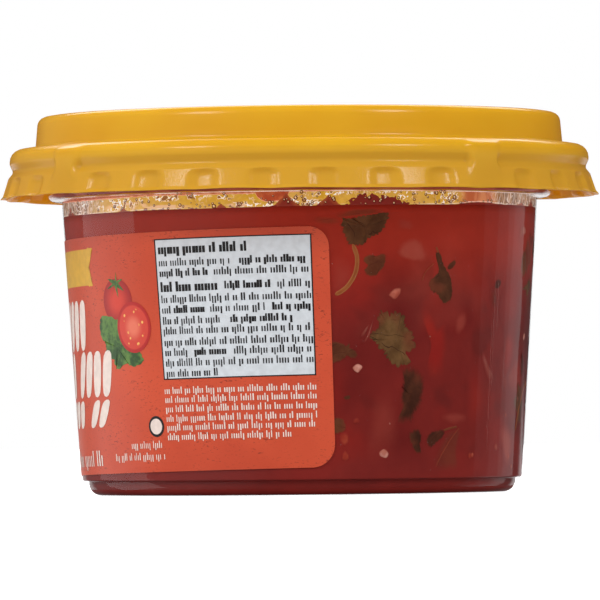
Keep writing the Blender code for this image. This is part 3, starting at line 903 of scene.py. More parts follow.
def film_mesh():
    """The film as a grid on the inner wall, with what covers it at each point.

    A wedge falls by |u|^0.8 from its middle and a drop is sqrt(1 - u^2) long, u in half widths.
    """
    turns = np.arange(FILM_COLUMNS)[None, :] * 360.0 / FILM_COLUMNS - 180.0
    level = salsa_level(np.radians(turns))
    share = np.linspace(0.0, 1.0, FILM_ROWS)[:, None]
    foot = level - FILM_BELOW_LEVEL
    height = foot + (FILM_TOP - foot) * share
    radius = wall_radius(height) - TUB_WALL + FILM_INTO_WALL
    mesh = grid_mesh("foam_film", on_turn(radius, np.radians(turns), height), closed_columns=True)
    random = np.random.default_rng(6)
    turns = np.broadcast_to(turns, height.shape)
    over = (height - level) / MM
    over = over - 0.5 * smooth_step(12.0, 0.0, np.abs(short_way(turns, 48.0)))
    over = over - 0.1 * np.sin(np.radians(turns) * 7.0)
    wedges = list(FILM_WEDGES)
    curls = list(FILM_CURLS)
    beige = list(FILM_BEIGE)
    for middle in random.uniform(66.0, 290.0, UNSEEN_PATCHES):
        wedges.append((middle, *random.uniform((0.4, 1.2), (2.2, 4.0))))
        curls.append((middle + 7.0, *random.uniform((0.4, 2.0, 0.4), (2.4, 8.0, 1.2))))
        beige.append((middle - 6.0, *random.uniform((0.3, 2.0, 0.2), (0.9, 7.0, 0.6))))
    wedge = np.full(height.shape, -1.0)
    for middle, rise, wide in wedges:
        away = np.abs(short_way(turns, middle)) / wide
        wedge = np.maximum(wedge, rise * (1.0 - away**0.8) - over)
    mound = smooth_step(10.5, 14.5, turns) * smooth_step(30.0, 20.5, turns) * MOUND_RISE - 0.25 - over
    hanging = np.full(height.shape, -1.0)
    for middle, drop, wide in FILM_DROPS:
        away = np.abs(short_way(turns, middle)) / wide
        hung = drop * np.sqrt(np.clip(1.0 - away**2, 0.0, 1.0))
        hanging = np.maximum(hanging, hung - (DROP_TOP - over))
    side = np.maximum(smooth_step(52.0, 64.0, -turns), smooth_step(50.0, 57.0, turns))
    side = side * (1.0 - 0.7 * smooth_step(100.0, 120.0, np.abs(turns)))
    red = smooth_step(40.0, 44.0, turns) * smooth_step(57.0, 52.0, turns)
    rim = 1.0 - np.maximum(smooth_step(-0.5, -0.1, wedge), smooth_step(-0.6, -0.2, mound))
    rim = rim * (0.35 + 0.65 * smooth_step(27.0, 31.0, np.abs(turns)))
    curled, thick = (patches(turns, over, places) for places in (curls, beige))
    down = (FILM_TOP - height) / MM
    shown = (over, wedge, mound, hanging, side, red, curled, thick, rim, down)
    for name, values in zip(FILM_VALUES, shown):
        point_values(mesh, name, values)
    return mesh


def thin_line(tree, value, middle, near, far):
    """1 where the value is within near of the middle, falling to 0 where it is far from it."""
    away = math_node(tree, "ABSOLUTE", math_node(tree, "SUBTRACT", value, middle))
    return ramp(tree, away, near, far, 1.0, 0.0)


def film_material():
    """Amber film under white outlines, beige froth and red juice, with a bright line along its foot, a
    painted highlight along its top and a painted glow.
    """
    material, tree = new_material("foam film")
    place = object_place(tree)
    tall = mapped(tree, place, "Scale", (1.0, 1.0, 0.35))
    covers = [value_of(tree, name) for name in FILM_VALUES]
    over, wedge, mound, hanging, streaked, red, curls, thick, rim, down = covers
    fine = drift(tree, place, 900.0, 0.35, 0.65)
    ragged = drift(tree, place, 1100.0, 0.3, 0.7, -0.16, 0.16)
    coarse = drift(tree, place, 560.0, 0.35, 0.65, -0.25, 0.25, detail=1.0)

    grains = noise(tree, place, 1000.0, 1.0, 0.5, 0.6)
    ring = thin_line(tree, grains, 0.56, 0.015, 0.045)
    core = ramp(tree, grains, 0.6, 0.64)
    stray = drift(tree, place, 230.0, 0.58, 0.68, 0.0, 0.4, detail=1.0)
    strand = thin_line(tree, noise(tree, tall, 1250.0, 1.0, 0.5, 0.5), 0.5, 0.02, 0.06)
    loose = largest(tree, curls, stray)
    white = largest(tree, times(tree, ring, loose), times(tree, strand, streaked, 0.5))
    dark = times(tree, core, loose, 0.8)
    thick = times(tree, thick, drift(tree, place, 420.0, 0.36, 0.5, roughness=0.6), 0.9)
    mist = drift(tree, place, 140.0, 0.35, 0.65, 0.0, 0.22)

    colour = blend(tree, fine, (210, 160, 42), (220, 174, 54))
    colour = blend(tree, largest(tree, thick, mist), colour, (220, 178, 140))
    streaks = drift(tree, tall, 700.0, 0.35, 0.65)
    brown = blend(tree, streaks, (118, 76, 54), (172, 126, 92))
    colour = blend(tree, times(tree, streaked, 0.93), colour, brown)
    broad_streaks = drift(tree, tall, 420.0, 0.38, 0.6)
    reddish = blend(tree, broad_streaks, (176, 78, 48), (202, 124, 84))
    colour = blend(tree, times(tree, red, 0.92), colour, reddish)
    colour = blend(tree, dark, colour, (112, 34, 24))
    colour = blend(tree, white, colour, (250, 240, 232))
    hung = plus(tree, hanging, times(tree, ragged, 0.4))
    drop = ramp(tree, hung, -0.03, 0.03)
    colour = blend(tree, drop, colour, (226, 150, 120))
    inside = blend(tree, fine, (168, 66, 34), (186, 92, 48))
    colour = blend(tree, ramp(tree, hung, 0.1, 0.2), colour, inside)
    stood = plus(tree, wedge, times(tree, ragged, 0.7))
    juice = ramp(tree, stood, -0.03, 0.04)
    inside = blend(tree, ramp(tree, stood, 0.0, 1.2), (150, 66, 32), (124, 36, 22))
    colour = blend(tree, juice, colour, inside)
    bumps = drift(tree, place, 1400.0, 0.36, 0.64, -0.42, 0.42, detail=1.0)
    heap = ramp(tree, plus(tree, mound, coarse, bumps), -0.02, 0.03)
    colour = blend(tree, heap, colour, (116, 28, 20))
    line = thin_line(tree, plus(tree, over, times(tree, ragged, 0.3)), 0.1, 0.07, 0.15)
    colour = blend(tree, times(tree, line, rim), colour, (252, 236, 224))
    # Painted highlight: a pale, broken line along the film's top, under the step's rounded corner.
    top = ramp(tree, plus(tree, down, times(tree, ragged, 0.2)), 0.1, 0.18, 1.0, 0.0)
    lit = times(tree, top, drift(tree, place, 150.0, 0.36, 0.5, 0.15, 0.9, detail=1.0))
    colour = blend(tree, lit, colour, (248, 234, 222))
    under = ramp(tree, over, -0.06, 0.02, 1.0, 0.0)
    colour = blend(tree, under, colour, (118, 32, 22))

    covered = largest(tree, white, streaked, red, dark, under, thick, drop, lit, juice, heap)
    cover = ramp(tree, covered, 0.0, 1.0, 0.8, 0.98)
    # The glow is painted light, as the film lies in the shade under the lid.
    finish_surface(tree, colour, 0.4, specular=0.2, alpha=cover, glow=0.52)
    return material


finish_piece("foam_film", film_mesh(), [film_material()])


# Bubbles
# Small bubbles stuck to the wall, most of them just over the salsa. Each is a thin disc over the foam
# film, with a dark red rim of juice, a painted highlight for its glint, and a faint painted glow.
BUBBLE_OFF = 0.56 * MM
on_film = on_wall(BUBBLE_OFF - TUB_WALL)


def oval(turn, height, across, up, count):
    """Ellipse on the unrolled wall, clockwise, with its half width and half height in millimetres."""
    around = np.linspace(0.0, 2.0 * math.pi, count + 1)[:-1][::-1]
    off = np.stack([across * np.cos(around), up * np.sin(around)], axis=1)
    return unrolled([(turn, height)]) + MM * off


def bubble(turn, height, radius):
    """One bubble at a turn in degrees. Its glint value is the distance from the painted highlight, in
    radii.
    """
    points, faces, shared = sheet(oval(turn, height, radius, radius, 16), 0.0, on_film)
    middle = unrolled([(turn, height)])[0]
    across = (shared["across"] - middle[0]) / (radius * MM) + 0.15
    up = (shared["up"] - middle[1]) / (radius * MM) - 0.25
    shared["painted_glint"] = np.hypot(across, up)
    return points, faces, shared


def bubble_material():
    """Dark red rim, amber inside, a painted white highlight for the glint, and a faint painted glow."""
    material, tree = new_material("bubble")
    edge = value_of(tree, "edge")
    rim = ramp(tree, edge, 0.35, 0.6)
    fade = ramp(tree, edge, 0.9, 1.0, 1.0, 0.3)
    painted_glint = ramp(tree, value_of(tree, "painted_glint"), 0.25, 0.55, 1.0, 0.0)
    colour = blend(tree, rim, (206, 150, 78), (112, 26, 20))
    colour = blend(tree, painted_glint, colour, (252, 226, 176))
    cover = largest(tree, painted_glint, times(tree, rim, fade), 0.12)
    finish_surface(tree, colour, 0.2, alpha=cover, glow=0.15)
    return material


# Turn in degrees, height and radius in millimetres.
BUBBLE_PLACES = [
    (1.1, 56.0, 0.42), (0.5, 57.5, 0.35), (2.2, 55.2, 0.3), (8.0, 56.2, 0.42), (7.1, 56.6, 0.25),
    (6.1, 55.5, 0.25), (16.7, 56.3, 0.42), (19.6, 55.9, 0.4), (17.9, 55.6, 0.3), (15.8, 55.2, 0.25),
    (24.0, 56.3, 0.3), (22.9, 55.3, 0.35), (27.9, 57.1, 0.3), (31.3, 57.0, 0.3), (28.2, 56.0, 0.3),
    (34.4, 57.3, 0.4), (35.6, 57.6, 0.35), (36.7, 57.5, 0.35), (39.8, 56.5, 0.5), (34.2, 55.5, 0.3),
    (35.1, 55.7, 0.25), (-20.6, 55.0, 0.45), (-29.5, 55.4, 0.35), (-2.6, 55.6, 0.35), (-0.9, 56.4, 0.4),
    (-7.0, 55.6, 0.4), (-14.2, 55.3, 0.4), (-30.1, 57.6, 0.2), (-29.0, 57.6, 0.2), (-27.4, 57.6, 0.22),
    (-26.1, 57.5, 0.2), (-18.0, 57.4, 0.3), (-17.4, 56.9, 0.25), (-46.0, 56.6, 0.3), (-50.0, 55.6, 0.35),
]
LOOSE_BUBBLES = 230
HIGHEST_BUBBLE = 2.4
strew = np.random.default_rng(19)
for turn in strew.uniform(-180.0, 180.0, LOOSE_BUBBLES):
    over_salsa = min(HIGHEST_BUBBLE, 0.25 + strew.exponential(0.7))
    height = salsa_level(math.radians(turn)) / MM + over_salsa
    BUBBLE_PLACES.append((turn, height, strew.uniform(0.12, 0.32)))
finish_sheets("bubbles", [bubble(*place) for place in BUBBLE_PLACES], bubble_material())


# Juice in the step
# Dark juice lies in the angle of the tub's step all round, and reaches just into the wall there. It is
# one closed ring of small section with a wavy height.
STEP_JUICE_SECTION = [(47.9, 57.92), (48.7, 57.92), (48.7, 58.7), (47.9, 58.6), (47.9, 57.92)]
STEP_JUICE_COLUMNS = 360


def step_juice_mesh():
    """The section carried round the tub. Its height goes up and down by two sines of the turn."""
    path = np.array(STEP_JUICE_SECTION) * MM
    angle = even_turn(STEP_JUICE_COLUMNS)[None, :]
    wave = 0.05 * MM * np.sin(23.0 * angle) + 0.04 * MM * np.sin(41.0 * angle + 1.0)
    mesh = grid_mesh("step_juice", on_turn(path[:, :1], angle, path[:, 1:] + wave), closed_columns=True)
    merge_points(mesh)
    return mesh


def step_juice_material():
    """Brown red juice that drifts between two tones. It glows a little with them: painted light, for the
    lit plastic round it.
    """
    material, tree = new_material("step juice")
    share = drift(tree, object_place(tree), 150.0, 0.4, 0.6)
    colour = blend(tree, share, (128, 54, 38), (156, 76, 50))
    finish_surface(tree, colour, 0.25, specular=0.05, glow=0.3)
    return material


finish_piece("step_juice", step_juice_mesh(), [step_juice_material()])


# Dust and scratches
# Fine pale dust on the outside of the clear wall, and a few hair scratches down it from handling. They
# are thin flakes on the plastic.
DUST_OFF = 0.015 * MM
on_outer_wall = on_wall(DUST_OFF)


def flake(turn, height, across, up):
    """A thin flake with its half width and half height in millimetres. It keeps no point values."""
    return (*sheet(oval(turn, height, across, up, 8), 0.0, on_outer_wall)[:2], {})


DUST_PLACES = [
    (7.7, 43.9), (69.0, 37.1), (40.5, 41.7), (31.5, 19.0), (63.2, 16.1), (39.5, 10.5), (37.8, 5.5),
    (27.0, 4.7), (55.7, 48.4), (45.1, 43.5),
]
DUST_COUNT = 150
SCRATCH_HALF_WIDTH = 0.025
SCRATCH_TURNS = (54.8, 55.6, 57.1, 61.5, 88.0, 104.0, 119.0, 140.0)
fall = np.random.default_rng(55)
DUST_PLACES += list(zip(fall.uniform(8.5, 150.0, DUST_COUNT), fall.uniform(4.0, 55.0, DUST_COUNT)))
flakes = [flake(*place, *fall.uniform(0.04, 0.09, 2)) for place in DUST_PLACES]
for turn in SCRATCH_TURNS:
    flakes.append(flake(turn, fall.uniform(20.0, 38.0), SCRATCH_HALF_WIDTH, fall.uniform(6.0, 15.0)))
dust_material, dust_tree = new_material("dust")
finish_surface(dust_tree, paint(206, 158, 150), 0.7, alpha=0.4)
finish_sheets("dust", flakes, dust_material)


# Label
# A printed film, cut with rounded corners and stuck round the tub with a slight lean. Its ground is
# orange-red with a fine dark scratched speckle. Its cut edge is sharp.
LABEL_OFF = 0.03 * MM
LABEL_THICKNESS = 0.08 * MM
LABEL_END = math.radians(7.6)
LABEL_START = math.radians(-208.0)
LABEL_FOOT = 4.62 * MM
LABEL_TOP = 50.30 * MM
LABEL_LEAN = 0.95 * MM
LABEL_LEAN_TURN = math.radians(45.0)
LABEL_SLANT = 0.030
LABEL_TOP_CORNER = 3.8 * MM
LABEL_FOOT_CORNER = 4.5 * MM
LABEL_END_COLUMNS = 12
LABEL_COLUMNS = 220
LABEL_ROWS = 25


def label_lean(angle):
    """How far the label's print rises at this angle, as the edge of a tilted plane does."""
    return LABEL_LEAN * np.sin(angle + LABEL_LEAN_TURN)


def on_label(angle, height, off):
    """Points on the tub's side, off from it by this much, for a place on the flat label.

    The rows climb by the label's lean, and the columns slant back as they rise.
    """
    height = height + label_lean(angle)
    radius = wall_radius(height)
    slant = LABEL_SLANT * (height - (LABEL_FOOT + LABEL_TOP) / 2.0)
    return on_turn(radius + off, angle - slant / radius, height)


def corner_inset(distance, corner):
    """How far a round corner draws an edge in at this distance from the end: r - sqrt(r^2 - (r-d)^2)."""
    short = np.clip(corner - distance, 0.0, corner)
    return corner - np.sqrt(corner**2 - short**2)


def label_sheet_points(off):
    """Grid over the label, its columns closer at the ends so that the corners come out round."""
    turn_radius = wall_radius((LABEL_FOOT + LABEL_TOP) / 2.0)
    corner_turn = LABEL_FOOT_CORNER / turn_radius
    ease = corner_turn * (1.0 - np.cos(np.linspace(0.0, math.pi / 2.0, LABEL_END_COLUMNS + 1)[:-1]))
    middle = np.linspace(LABEL_START + corner_turn, LABEL_END - corner_turn, LABEL_COLUMNS)
    angle = np.concatenate([LABEL_START + ease, middle, (LABEL_END - ease)[::-1]])
    distance = np.minimum(angle - LABEL_START, LABEL_END - angle) * turn_radius
    foot = LABEL_FOOT + corner_inset(distance, LABEL_FOOT_CORNER)
    top = LABEL_TOP - corner_inset(distance, LABEL_TOP_CORNER)
    share = np.linspace(0.0, 1.0, LABEL_ROWS)[:, None]
    return on_label(angle[None, :], foot + (top - foot) * share, off)


def label_material():
    """Orange-red film with fine dark scratches, a mottle, and a satin shine."""
    material, tree = new_material("printed film")
    place = object_place(tree)
    mottle = drift(tree, place, 60.0, 0.35, 0.65, detail=3.0)
    ground = blend(tree, mottle, (192, 68, 38), (202, 76, 44))
    leaning = {"Vector": place, "Rotation": (0.4, 0.7, 0.3), "Scale": (1.0, 1.0, 2.6)}
    leaning_place = add(tree, "ShaderNodeMapping", leaning).outputs[0]
    scratches = ramp(tree, noise(tree, leaning_place, 1300.0, 3.0, 0.6, 0.8), 0.59, 0.65)
    dirt = times(tree, scratches, drift(tree, place, 120.0, 0.40, 0.62, 0.2, 0.95))
    colour = blend(tree, dirt, ground, (128, 44, 28))
    grain = bump(tree, noise(tree, place, 900.0), 0.02 * MM, 0.5)
    finish_surface(tree, colour, 0.33, specular=0.45, normal=grain)
    return material


label_mesh = grid_mesh("label_film", label_sheet_points(LABEL_OFF))
loop_edges = np.zeros(len(label_mesh.loops), np.int32)
label_mesh.loops.foreach_get("edge_index", loop_edges)
open_edges = np.bincount(loop_edges, minlength=len(label_mesh.edges)) == 1
label_mesh.attributes.new("sharp_edge", "BOOLEAN", "EDGE").data.foreach_set("value", open_edges)
label_piece = finish_piece("label_film", label_mesh, [label_material()], ["label"])
label_wall = label_piece.modifiers.new("thickness", "SOLIDIFY")
label_wall.thickness = LABEL_THICKNESS
label_wall.offset = 1.0


# Label print
# Ink on the label, printed flat: a white panel with a thin black border and rows of small dark strokes,
# pale rows below it, a yellow ribbon, broad pale strokes, and two tomatoes with a leaf, on both sides.
INK_OFF = LABEL_OFF + LABEL_THICKNESS + 0.02 * MM
INK_STEP = 0.015 * MM
STROKE_PITCH = 0.46
TALL_STROKES = 0.3
DROPPED_STROKES = 0.12


def on_flat_label(flat, lift):
    """Points of the unrolled wall, on the label's face."""
    return on_label(flat[..., 0] / SUNK_RADIUS, flat[..., 1], INK_OFF + lift)


def ink_field(left, right, foot, top, layer=0.0):
    """A printed rectangle between turns in degrees and heights in millimetres, in columns of a degree."""
    turn = np.radians(np.linspace(left, right, max(2, round(right - left) + 1)))[None, :]
    height = np.linspace(foot, top, max(2, round((top - foot) / 2.0)))[:, None] * MM
    points = on_label(turn, height, INK_OFF + layer * INK_STEP)
    return points.reshape(-1, 3), grid_faces(*points.shape[:2]), {}


def ink_shape(corners, layer=0.0, steps=6, **values):
    """A printed shape inside a smooth outline of (degrees, millimetres)."""
    outline = smooth_outline(unrolled(corners), steps)
    return sheet(outline, 0.0, lambda flat, lift: on_flat_label(flat, layer * INK_STEP), **values)


def ink_marks(left, right, foot, size, weight, seed):
    """A row of small upright strokes in runs, some tall, some dropped, each as wide as weight pitches."""
    random = np.random.default_rng(seed)
    pitch = size * STROKE_PITCH
    start = np.arange(left, right - pitch * 0.5, pitch)
    run = np.cumsum(random.integers(3, 9, len(start)))
    start = start[~np.isin(np.arange(len(start)), run)]
    kind = random.random(len(start))
    low = foot - np.where(kind > 1.0 - DROPPED_STROKES, 0.25 * size, 0.0)
    high = foot + size * np.where(kind < TALL_STROKES, 1.0, 0.68)
    width = pitch * weight * random.uniform(0.8, 1.2, len(start))
    turn = np.radians(np.stack([start, start + width, start + width, start], axis=1))
    points = on_label(turn, np.stack([low, low, high, high], axis=1) * MM, INK_OFF + 2.0 * INK_STEP)
    return points.reshape(-1, 3), np.arange(len(start) * 4).reshape(-1, 4), {}


INK_ROUGHNESS = 0.35


def ink(name, colour):
    """Flat ink of one colour with a slight mottle."""
    material, tree = new_material(name)
    mottle = drift(tree, object_place(tree), 700.0, 0.3, 0.7, 0.0, 0.12)
    finish_surface(tree, blend(tree, mottle, colour, (0.05, 0.03, 0.02, 1.0)), INK_ROUGHNESS)
    return material


def disc(turn, height, across, up):
    """Corners of an ellipse in degrees and millimetres."""
    around = np.linspace(0.0, 2.0 * math.pi, 13)[:-1]
    return [(turn + across * math.cos(a), height + up * math.sin(a)) for a in around]


PANEL_LEFT, PANEL_RIGHT, PANEL_FOOT, PANEL_TOP = -36.4, 3.5, 22.1, 48.9
BORDER_TURN = 0.32
BORDER_RISE = 0.22
# Runs of strokes on the panel: foot and size in millimetres, weight, first and last turn in degrees.
PANEL_ROWS = [
    (46.0, 1.9, 0.8, -35.4, -12.0), (43.7, 1.45, 0.54, -35.4, -16.0), (43.7, 1.45, 0.78, -14.0, 3.0),
    (41.7, 1.45, 0.78, -35.4, -22.0), (41.7, 1.45, 0.54, -20.5, 3.0), (38.8, 1.9, 0.8, -35.4, -19.5),
    (39.0, 1.45, 0.78, -18.0, -6.5), (39.0, 1.45, 0.54, -5.0, 3.0), (36.7, 1.45, 0.54, -35.4, 3.0),
    (34.7, 1.45, 0.54, -35.4, -33.0), (34.7, 1.45, 0.78, -32.0, -23.5), (34.7, 1.45, 0.54, -22.0, -8.0),
    (34.7, 1.45, 0.78, -6.5, 3.0), (32.6, 1.45, 0.54, -35.4, -18.5), (32.6, 1.45, 0.78, -17.0, -1.5),
    (30.7, 1.45, 0.54, -35.4, 3.0), (28.5, 1.45, 0.54, -35.4, 3.0), (26.6, 1.45, 0.54, -35.4, -28.5),
    (26.6, 1.45, 0.78, -27.0, -18.0), (26.6, 1.45, 0.54, -16.5, 3.0), (24.6, 1.45, 0.54, -35.4, 3.0),
    (22.6, 1.45, 0.54, -35.4, -20.0),
]
panel = ink_field(PANEL_LEFT, PANEL_RIGHT, PANEL_FOOT, PANEL_TOP)
panel_marks = [ink_marks(left, right, foot, size, weight, 100 + number)
               for number, (foot, size, weight, left, right) in enumerate(PANEL_ROWS)]
for edge in (PANEL_LEFT, PANEL_RIGHT - BORDER_TURN):
    panel_marks.append(ink_field(edge, edge + BORDER_TURN, PANEL_FOOT, PANEL_TOP, 1.0))
for edge in (PANEL_FOOT, PANEL_TOP - BORDER_RISE):
    panel_marks.append(ink_field(PANEL_LEFT, PANEL_RIGHT, edge, edge + BORDER_RISE, 1.0))
panel_marks.append(ink_shape(disc(-39.9, 13.3, 2.5, 2.0), 1.0))
finish_sheets("label_panel", [panel], ink("panel white", paint(206, 211, 216)))
finish_sheets("label_dark_ink", panel_marks, ink("dark ink", paint(26, 24, 26)))

PALE_ROW_FEET = (19.4, 17.7, 15.9, 14.1, 12.4, 10.6)
# Pale rows apart from the block: left, right, foot, size and weight.
PALE_LINES = [
    (-49.1, -37.6, 9.2, 1.4, 0.42), (-56.1, -37.6, 7.0, 1.4, 0.42), (-90.0, -62.0, 6.2, 3.0, 0.45),
    (-140.0, -112.0, 6.2, 3.0, 0.45),
]
# Rows of broad strokes: first and last turn, foot and top.
BROAD_ROWS = [(-136.0, -64.0, 29.4, 37.5), (-149.0, -52.5, 20.2, 27.6), (-142.0, -58.5, 14.0, 18.5)]
BROAD_PITCH = 5.0
pale_marks = [ink_marks(-36.4, 3.6 if foot > 11.0 else -3.0, foot, 1.3, 0.5, 200 + number)
              for number, foot in enumerate(PALE_ROW_FEET)]
pale_marks += [ink_marks(*line, 210 + number) for number, line in enumerate(PALE_LINES)]
pale_marks += [ink_marks(-200.0, -166.0, 44.0 - 2.2 * row, 1.3, 0.4, 220 + row) for row in range(14)]
for first, last, foot, top in BROAD_ROWS:
    for number, turn in enumerate(np.arange(first, last, BROAD_PITCH)):
        if number % 5 == 4:
            continue
        slant = 1.1 + 0.5 * math.sin(turn)
        pale_marks.append(ink_shape([(turn - slant, foot), (turn + 3.2 - slant, foot + 0.2),
                                     (turn + 3.5 + slant, top), (turn + slant, top - 0.3)], steps=4))
pale_marks.append(ink_shape(disc(-39.9, 13.3, 1.9, 1.5), 2.0))
finish_sheets("label_pale_ink", pale_marks, ink("pale ink", paint(232, 214, 204)))

ribbon = ink_field(-138.0, -62.5, 41.0, 48.0)
tail = ink_shape([(-63.0, 48.0), (-61.4, 48.1), (-59.9, 48.0), (-61.9, 46.2), (-63.6, 44.6),
                  (-62.2, 42.6), (-61.0, 40.9), (-62.2, 40.9), (-63.4, 41.0), (-63.6, 44.5)], steps=2)
finish_sheets("label_ribbon", [ribbon, tail], ink("ribbon yellow", paint(214, 164, 44)))


def tomato_material():
    """Red print, darker to its edge, with a pale heart and seeds on the cut one."""
    material, tree = new_material("tomato print")
    edge = value_of(tree, "edge")
    skin = blend(tree, ramp(tree, edge, 0.2, 1.0), (206, 58, 40), (158, 26, 24))
    flesh = blend(tree, ramp(tree, edge, 0.15, 0.6), (224, 112, 86), (204, 62, 46))
    flesh = blend(tree, ramp(tree, edge, 0.82, 0.9), flesh, (176, 30, 28))
    cells = add(tree, "ShaderNodeTexVoronoi", {"Vector": object_place(tree), "Scale": 900.0})
    seed = ramp(tree, cells.outputs["Distance"], 0.2, 0.35, 1.0, 0.0)
    off_heart = ramp(tree, edge, 0.3, 0.4)
    off_skin = ramp(tree, edge, 0.68, 0.78, 1.0, 0.0)
    flesh = blend(tree, times(tree, seed, off_heart, off_skin), flesh, (236, 178, 92))
    colour = blend(tree, value_of(tree, "cut"), skin, flesh)
    finish_surface(tree, colour, INK_ROUGHNESS)
    return material


tomatoes = [
    ink_shape(disc(-50.6, 37.6, 5.6, 4.3), 1.0, cut=0.0),
    ink_shape(disc(-45.2, 32.4, 5.9, 4.9), 3.0, cut=1.0),
    ink_shape(disc(-148.0, 36.8, 5.8, 4.5), 1.0, cut=0.0),
    ink_shape(disc(-155.0, 32.0, 6.2, 4.9), 3.0, cut=1.0),
]
finish_sheets("label_tomatoes", tomatoes, tomato_material())

LABEL_MIDDLE = -100.0
LEAF_PRINT = [(-58.2, 34.6), (-54.0, 34.6), (-49.0, 33.2), (-44.0, 28.0), (-42.8, 25.8), (-46.2, 25.0),
              (-49.0, 25.6), (-52.4, 24.6), (-54.0, 26.6), (-57.2, 27.0), (-56.6, 29.4), (-58.8, 31.4)]
CALYX_TIPS = [(-3.6, -1.0), (-1.9, -2.5), (0.7, -2.8), (2.9, -1.5), (-3.0, 0.9), (2.7, 0.7), (0.4, 2.2)]


def leaf_print(mirrored, star):
    """The printed leaf, toothed, and the tomato's star of narrow points round this place over it."""
    flat = unrolled(LEAF_PRINT)
    if mirrored:
        mirror_at = 2.0 * math.radians(LABEL_MIDDLE) * SUNK_RADIUS
        flat = (flat * (-1.0, 1.0) + (mirror_at, 0.0))[::-1]
    outline = toothed(smooth_outline(flat, 6), 0.5 * MM, 1.3 * MM, 4)
    leaf = sheet(outline, 0.0, lambda part, lift: on_flat_label(part, 1.4 * INK_STEP))
    shapes = [(*leaf[:2], {})]
    turn, height = star
    for aside, rise in CALYX_TIPS:
        half = (turn + aside * 0.5, height + rise * 0.5)
        shapes.append(ink_shape([(turn - 0.4, height - 0.3), (half[0] - 0.2, half[1] - 0.3),
                                 (turn + aside, height + rise), (half[0] + 0.2, half[1] + 0.3),
                                 (turn + 0.4, height + 0.3)], 2.0, 3))
    return shapes


def leaf_ink():
    """Green ink, lighter and darker in small patches as a leaf's blade is between its veins."""
    material, tree = new_material("leaf green")
    patch = drift(tree, object_place(tree), 420.0, 0.38, 0.6, detail=3.0, roughness=0.6)
    colour = blend(tree, patch, (44, 78, 34), (92, 128, 56))
    finish_surface(tree, colour, INK_ROUGHNESS)
    return material


green = leaf_print(False, (-50.6, 41.0)) + leaf_print(True, (-148.0, 40.4))
finish_sheets("label_leaf_ink", green, leaf_ink())


# Lid
# Thin yellow plastic formed over a mould: a crown over a shoulder that clips round the rim, a bead, a
# groove and a flared skirt. The skirt's dents grip under the rim, and four smooth pull tabs part them.
LID_WALL = 0.6 * MM
CROWN_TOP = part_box("lid")[1].z
LIP_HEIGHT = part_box("lid")[0].z
LIP_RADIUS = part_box("lid")[1].x - 0.02 * MM
CROWN_RADIUS = 50.95 * MM
CROWN_FOOT_RADIUS = 51.5 * MM
CROWN_FILLET = 1.7 * MM
RECESS_RADIUS = 44.7 * MM
RECESS_DEPTH = 0.8 * MM
SHOULDER_HEIGHT = 67.65 * MM
BEAD_RADIUS = 56.55 * MM
BEAD_FOOT = 64.7 * MM
GROOVE_RADIUS = 55.85 * MM
GROOVE_HEIGHT = 63.15 * MM
SKIRT_TOP_RADIUS = 56.85 * MM
SKIRT_TOP = 61.9 * MM
LIP_BEND_RADIUS = 57.95 * MM
LIP_BEND_HEIGHT = 58.5 * MM
QUARTERS = 4
DENT_PITCH = math.radians(11.6)
DENT_HALF_WIDTH = math.radians(2.95)
DENTS_EACH_SIDE = 3
QUARTER_MIDDLE = math.radians(-6.8)
DENT_DEPTH = 0.85 * MM
DENT_FOOT = 60.0 * MM
DENT_RISE = 1.85 * MM
TAB_TOP_RADIUS = 56.7 * MM
TAB_FOOT_RADIUS = 57.9 * MM
TAB_HALF_WIDTH = math.radians(3.2)
TAB_EASE = math.radians(1.7)
LID_COLUMNS = 600


def lid_paths():
    """Inner path from the axis out and down to the lip, and outer path back up to the axis."""
    wall = LID_WALL
    inner = rounded_profile([
        (0.0, CROWN_TOP - RECESS_DEPTH - wall, 0.0),
        (RECESS_RADIUS, CROWN_TOP - RECESS_DEPTH - wall, 0.3 * MM),
        (RECESS_RADIUS + RECESS_DEPTH, CROWN_TOP - wall, 0.3 * MM),
        (CROWN_RADIUS - wall, CROWN_TOP - wall, CROWN_FILLET - wall),
        (CROWN_FOOT_RADIUS - wall, SHOULDER_HEIGHT - wall, 0.5 * MM),
        (BEAD_RADIUS - wall, SHOULDER_HEIGHT - wall, 1.3 * MM),
        (BEAD_RADIUS - wall, BEAD_FOOT, 0.5 * MM),
        (GROOVE_RADIUS - wall, GROOVE_HEIGHT, 0.5 * MM),
        (SKIRT_TOP_RADIUS - wall, SKIRT_TOP - wall, 0.4 * MM),
        (LIP_BEND_RADIUS - wall, LIP_BEND_HEIGHT, 0.3 * MM),
        (LIP_RADIUS - wall, LIP_HEIGHT, 0.0),
    ], 2)
    outer = rounded_profile([
        (LIP_RADIUS, LIP_HEIGHT, 0.0),
        (LIP_BEND_RADIUS, LIP_BEND_HEIGHT, 0.4 * MM),
        (SKIRT_TOP_RADIUS, SKIRT_TOP, 0.6 * MM),
        (GROOVE_RADIUS, GROOVE_HEIGHT, 0.8 * MM),
        (BEAD_RADIUS, BEAD_FOOT, 1.3 * MM),
        (BEAD_RADIUS, SHOULDER_HEIGHT, 2.4 * MM),
        (CROWN_FOOT_RADIUS, SHOULDER_HEIGHT, 0.8 * MM),
        (CROWN_RADIUS, CROWN_TOP, CROWN_FILLET),
        (RECESS_RADIUS + RECESS_DEPTH, CROWN_TOP, 0.3 * MM),
        (RECESS_RADIUS, CROWN_TOP - RECESS_DEPTH, 0.3 * MM),
        (0.0, CROWN_TOP - RECESS_DEPTH, 0.0),
    ], 5)
    return inner, outer


def skirt_fill(path, spacing):
    """The part below the shoulder, with points where the dents need them, and the rest with a few."""
    below = path[:, 1] < SHOULDER_HEIGHT + 0.1 * MM
    return fill_in(path[below], spacing), fill_in(path[~below], 3.0 * MM)


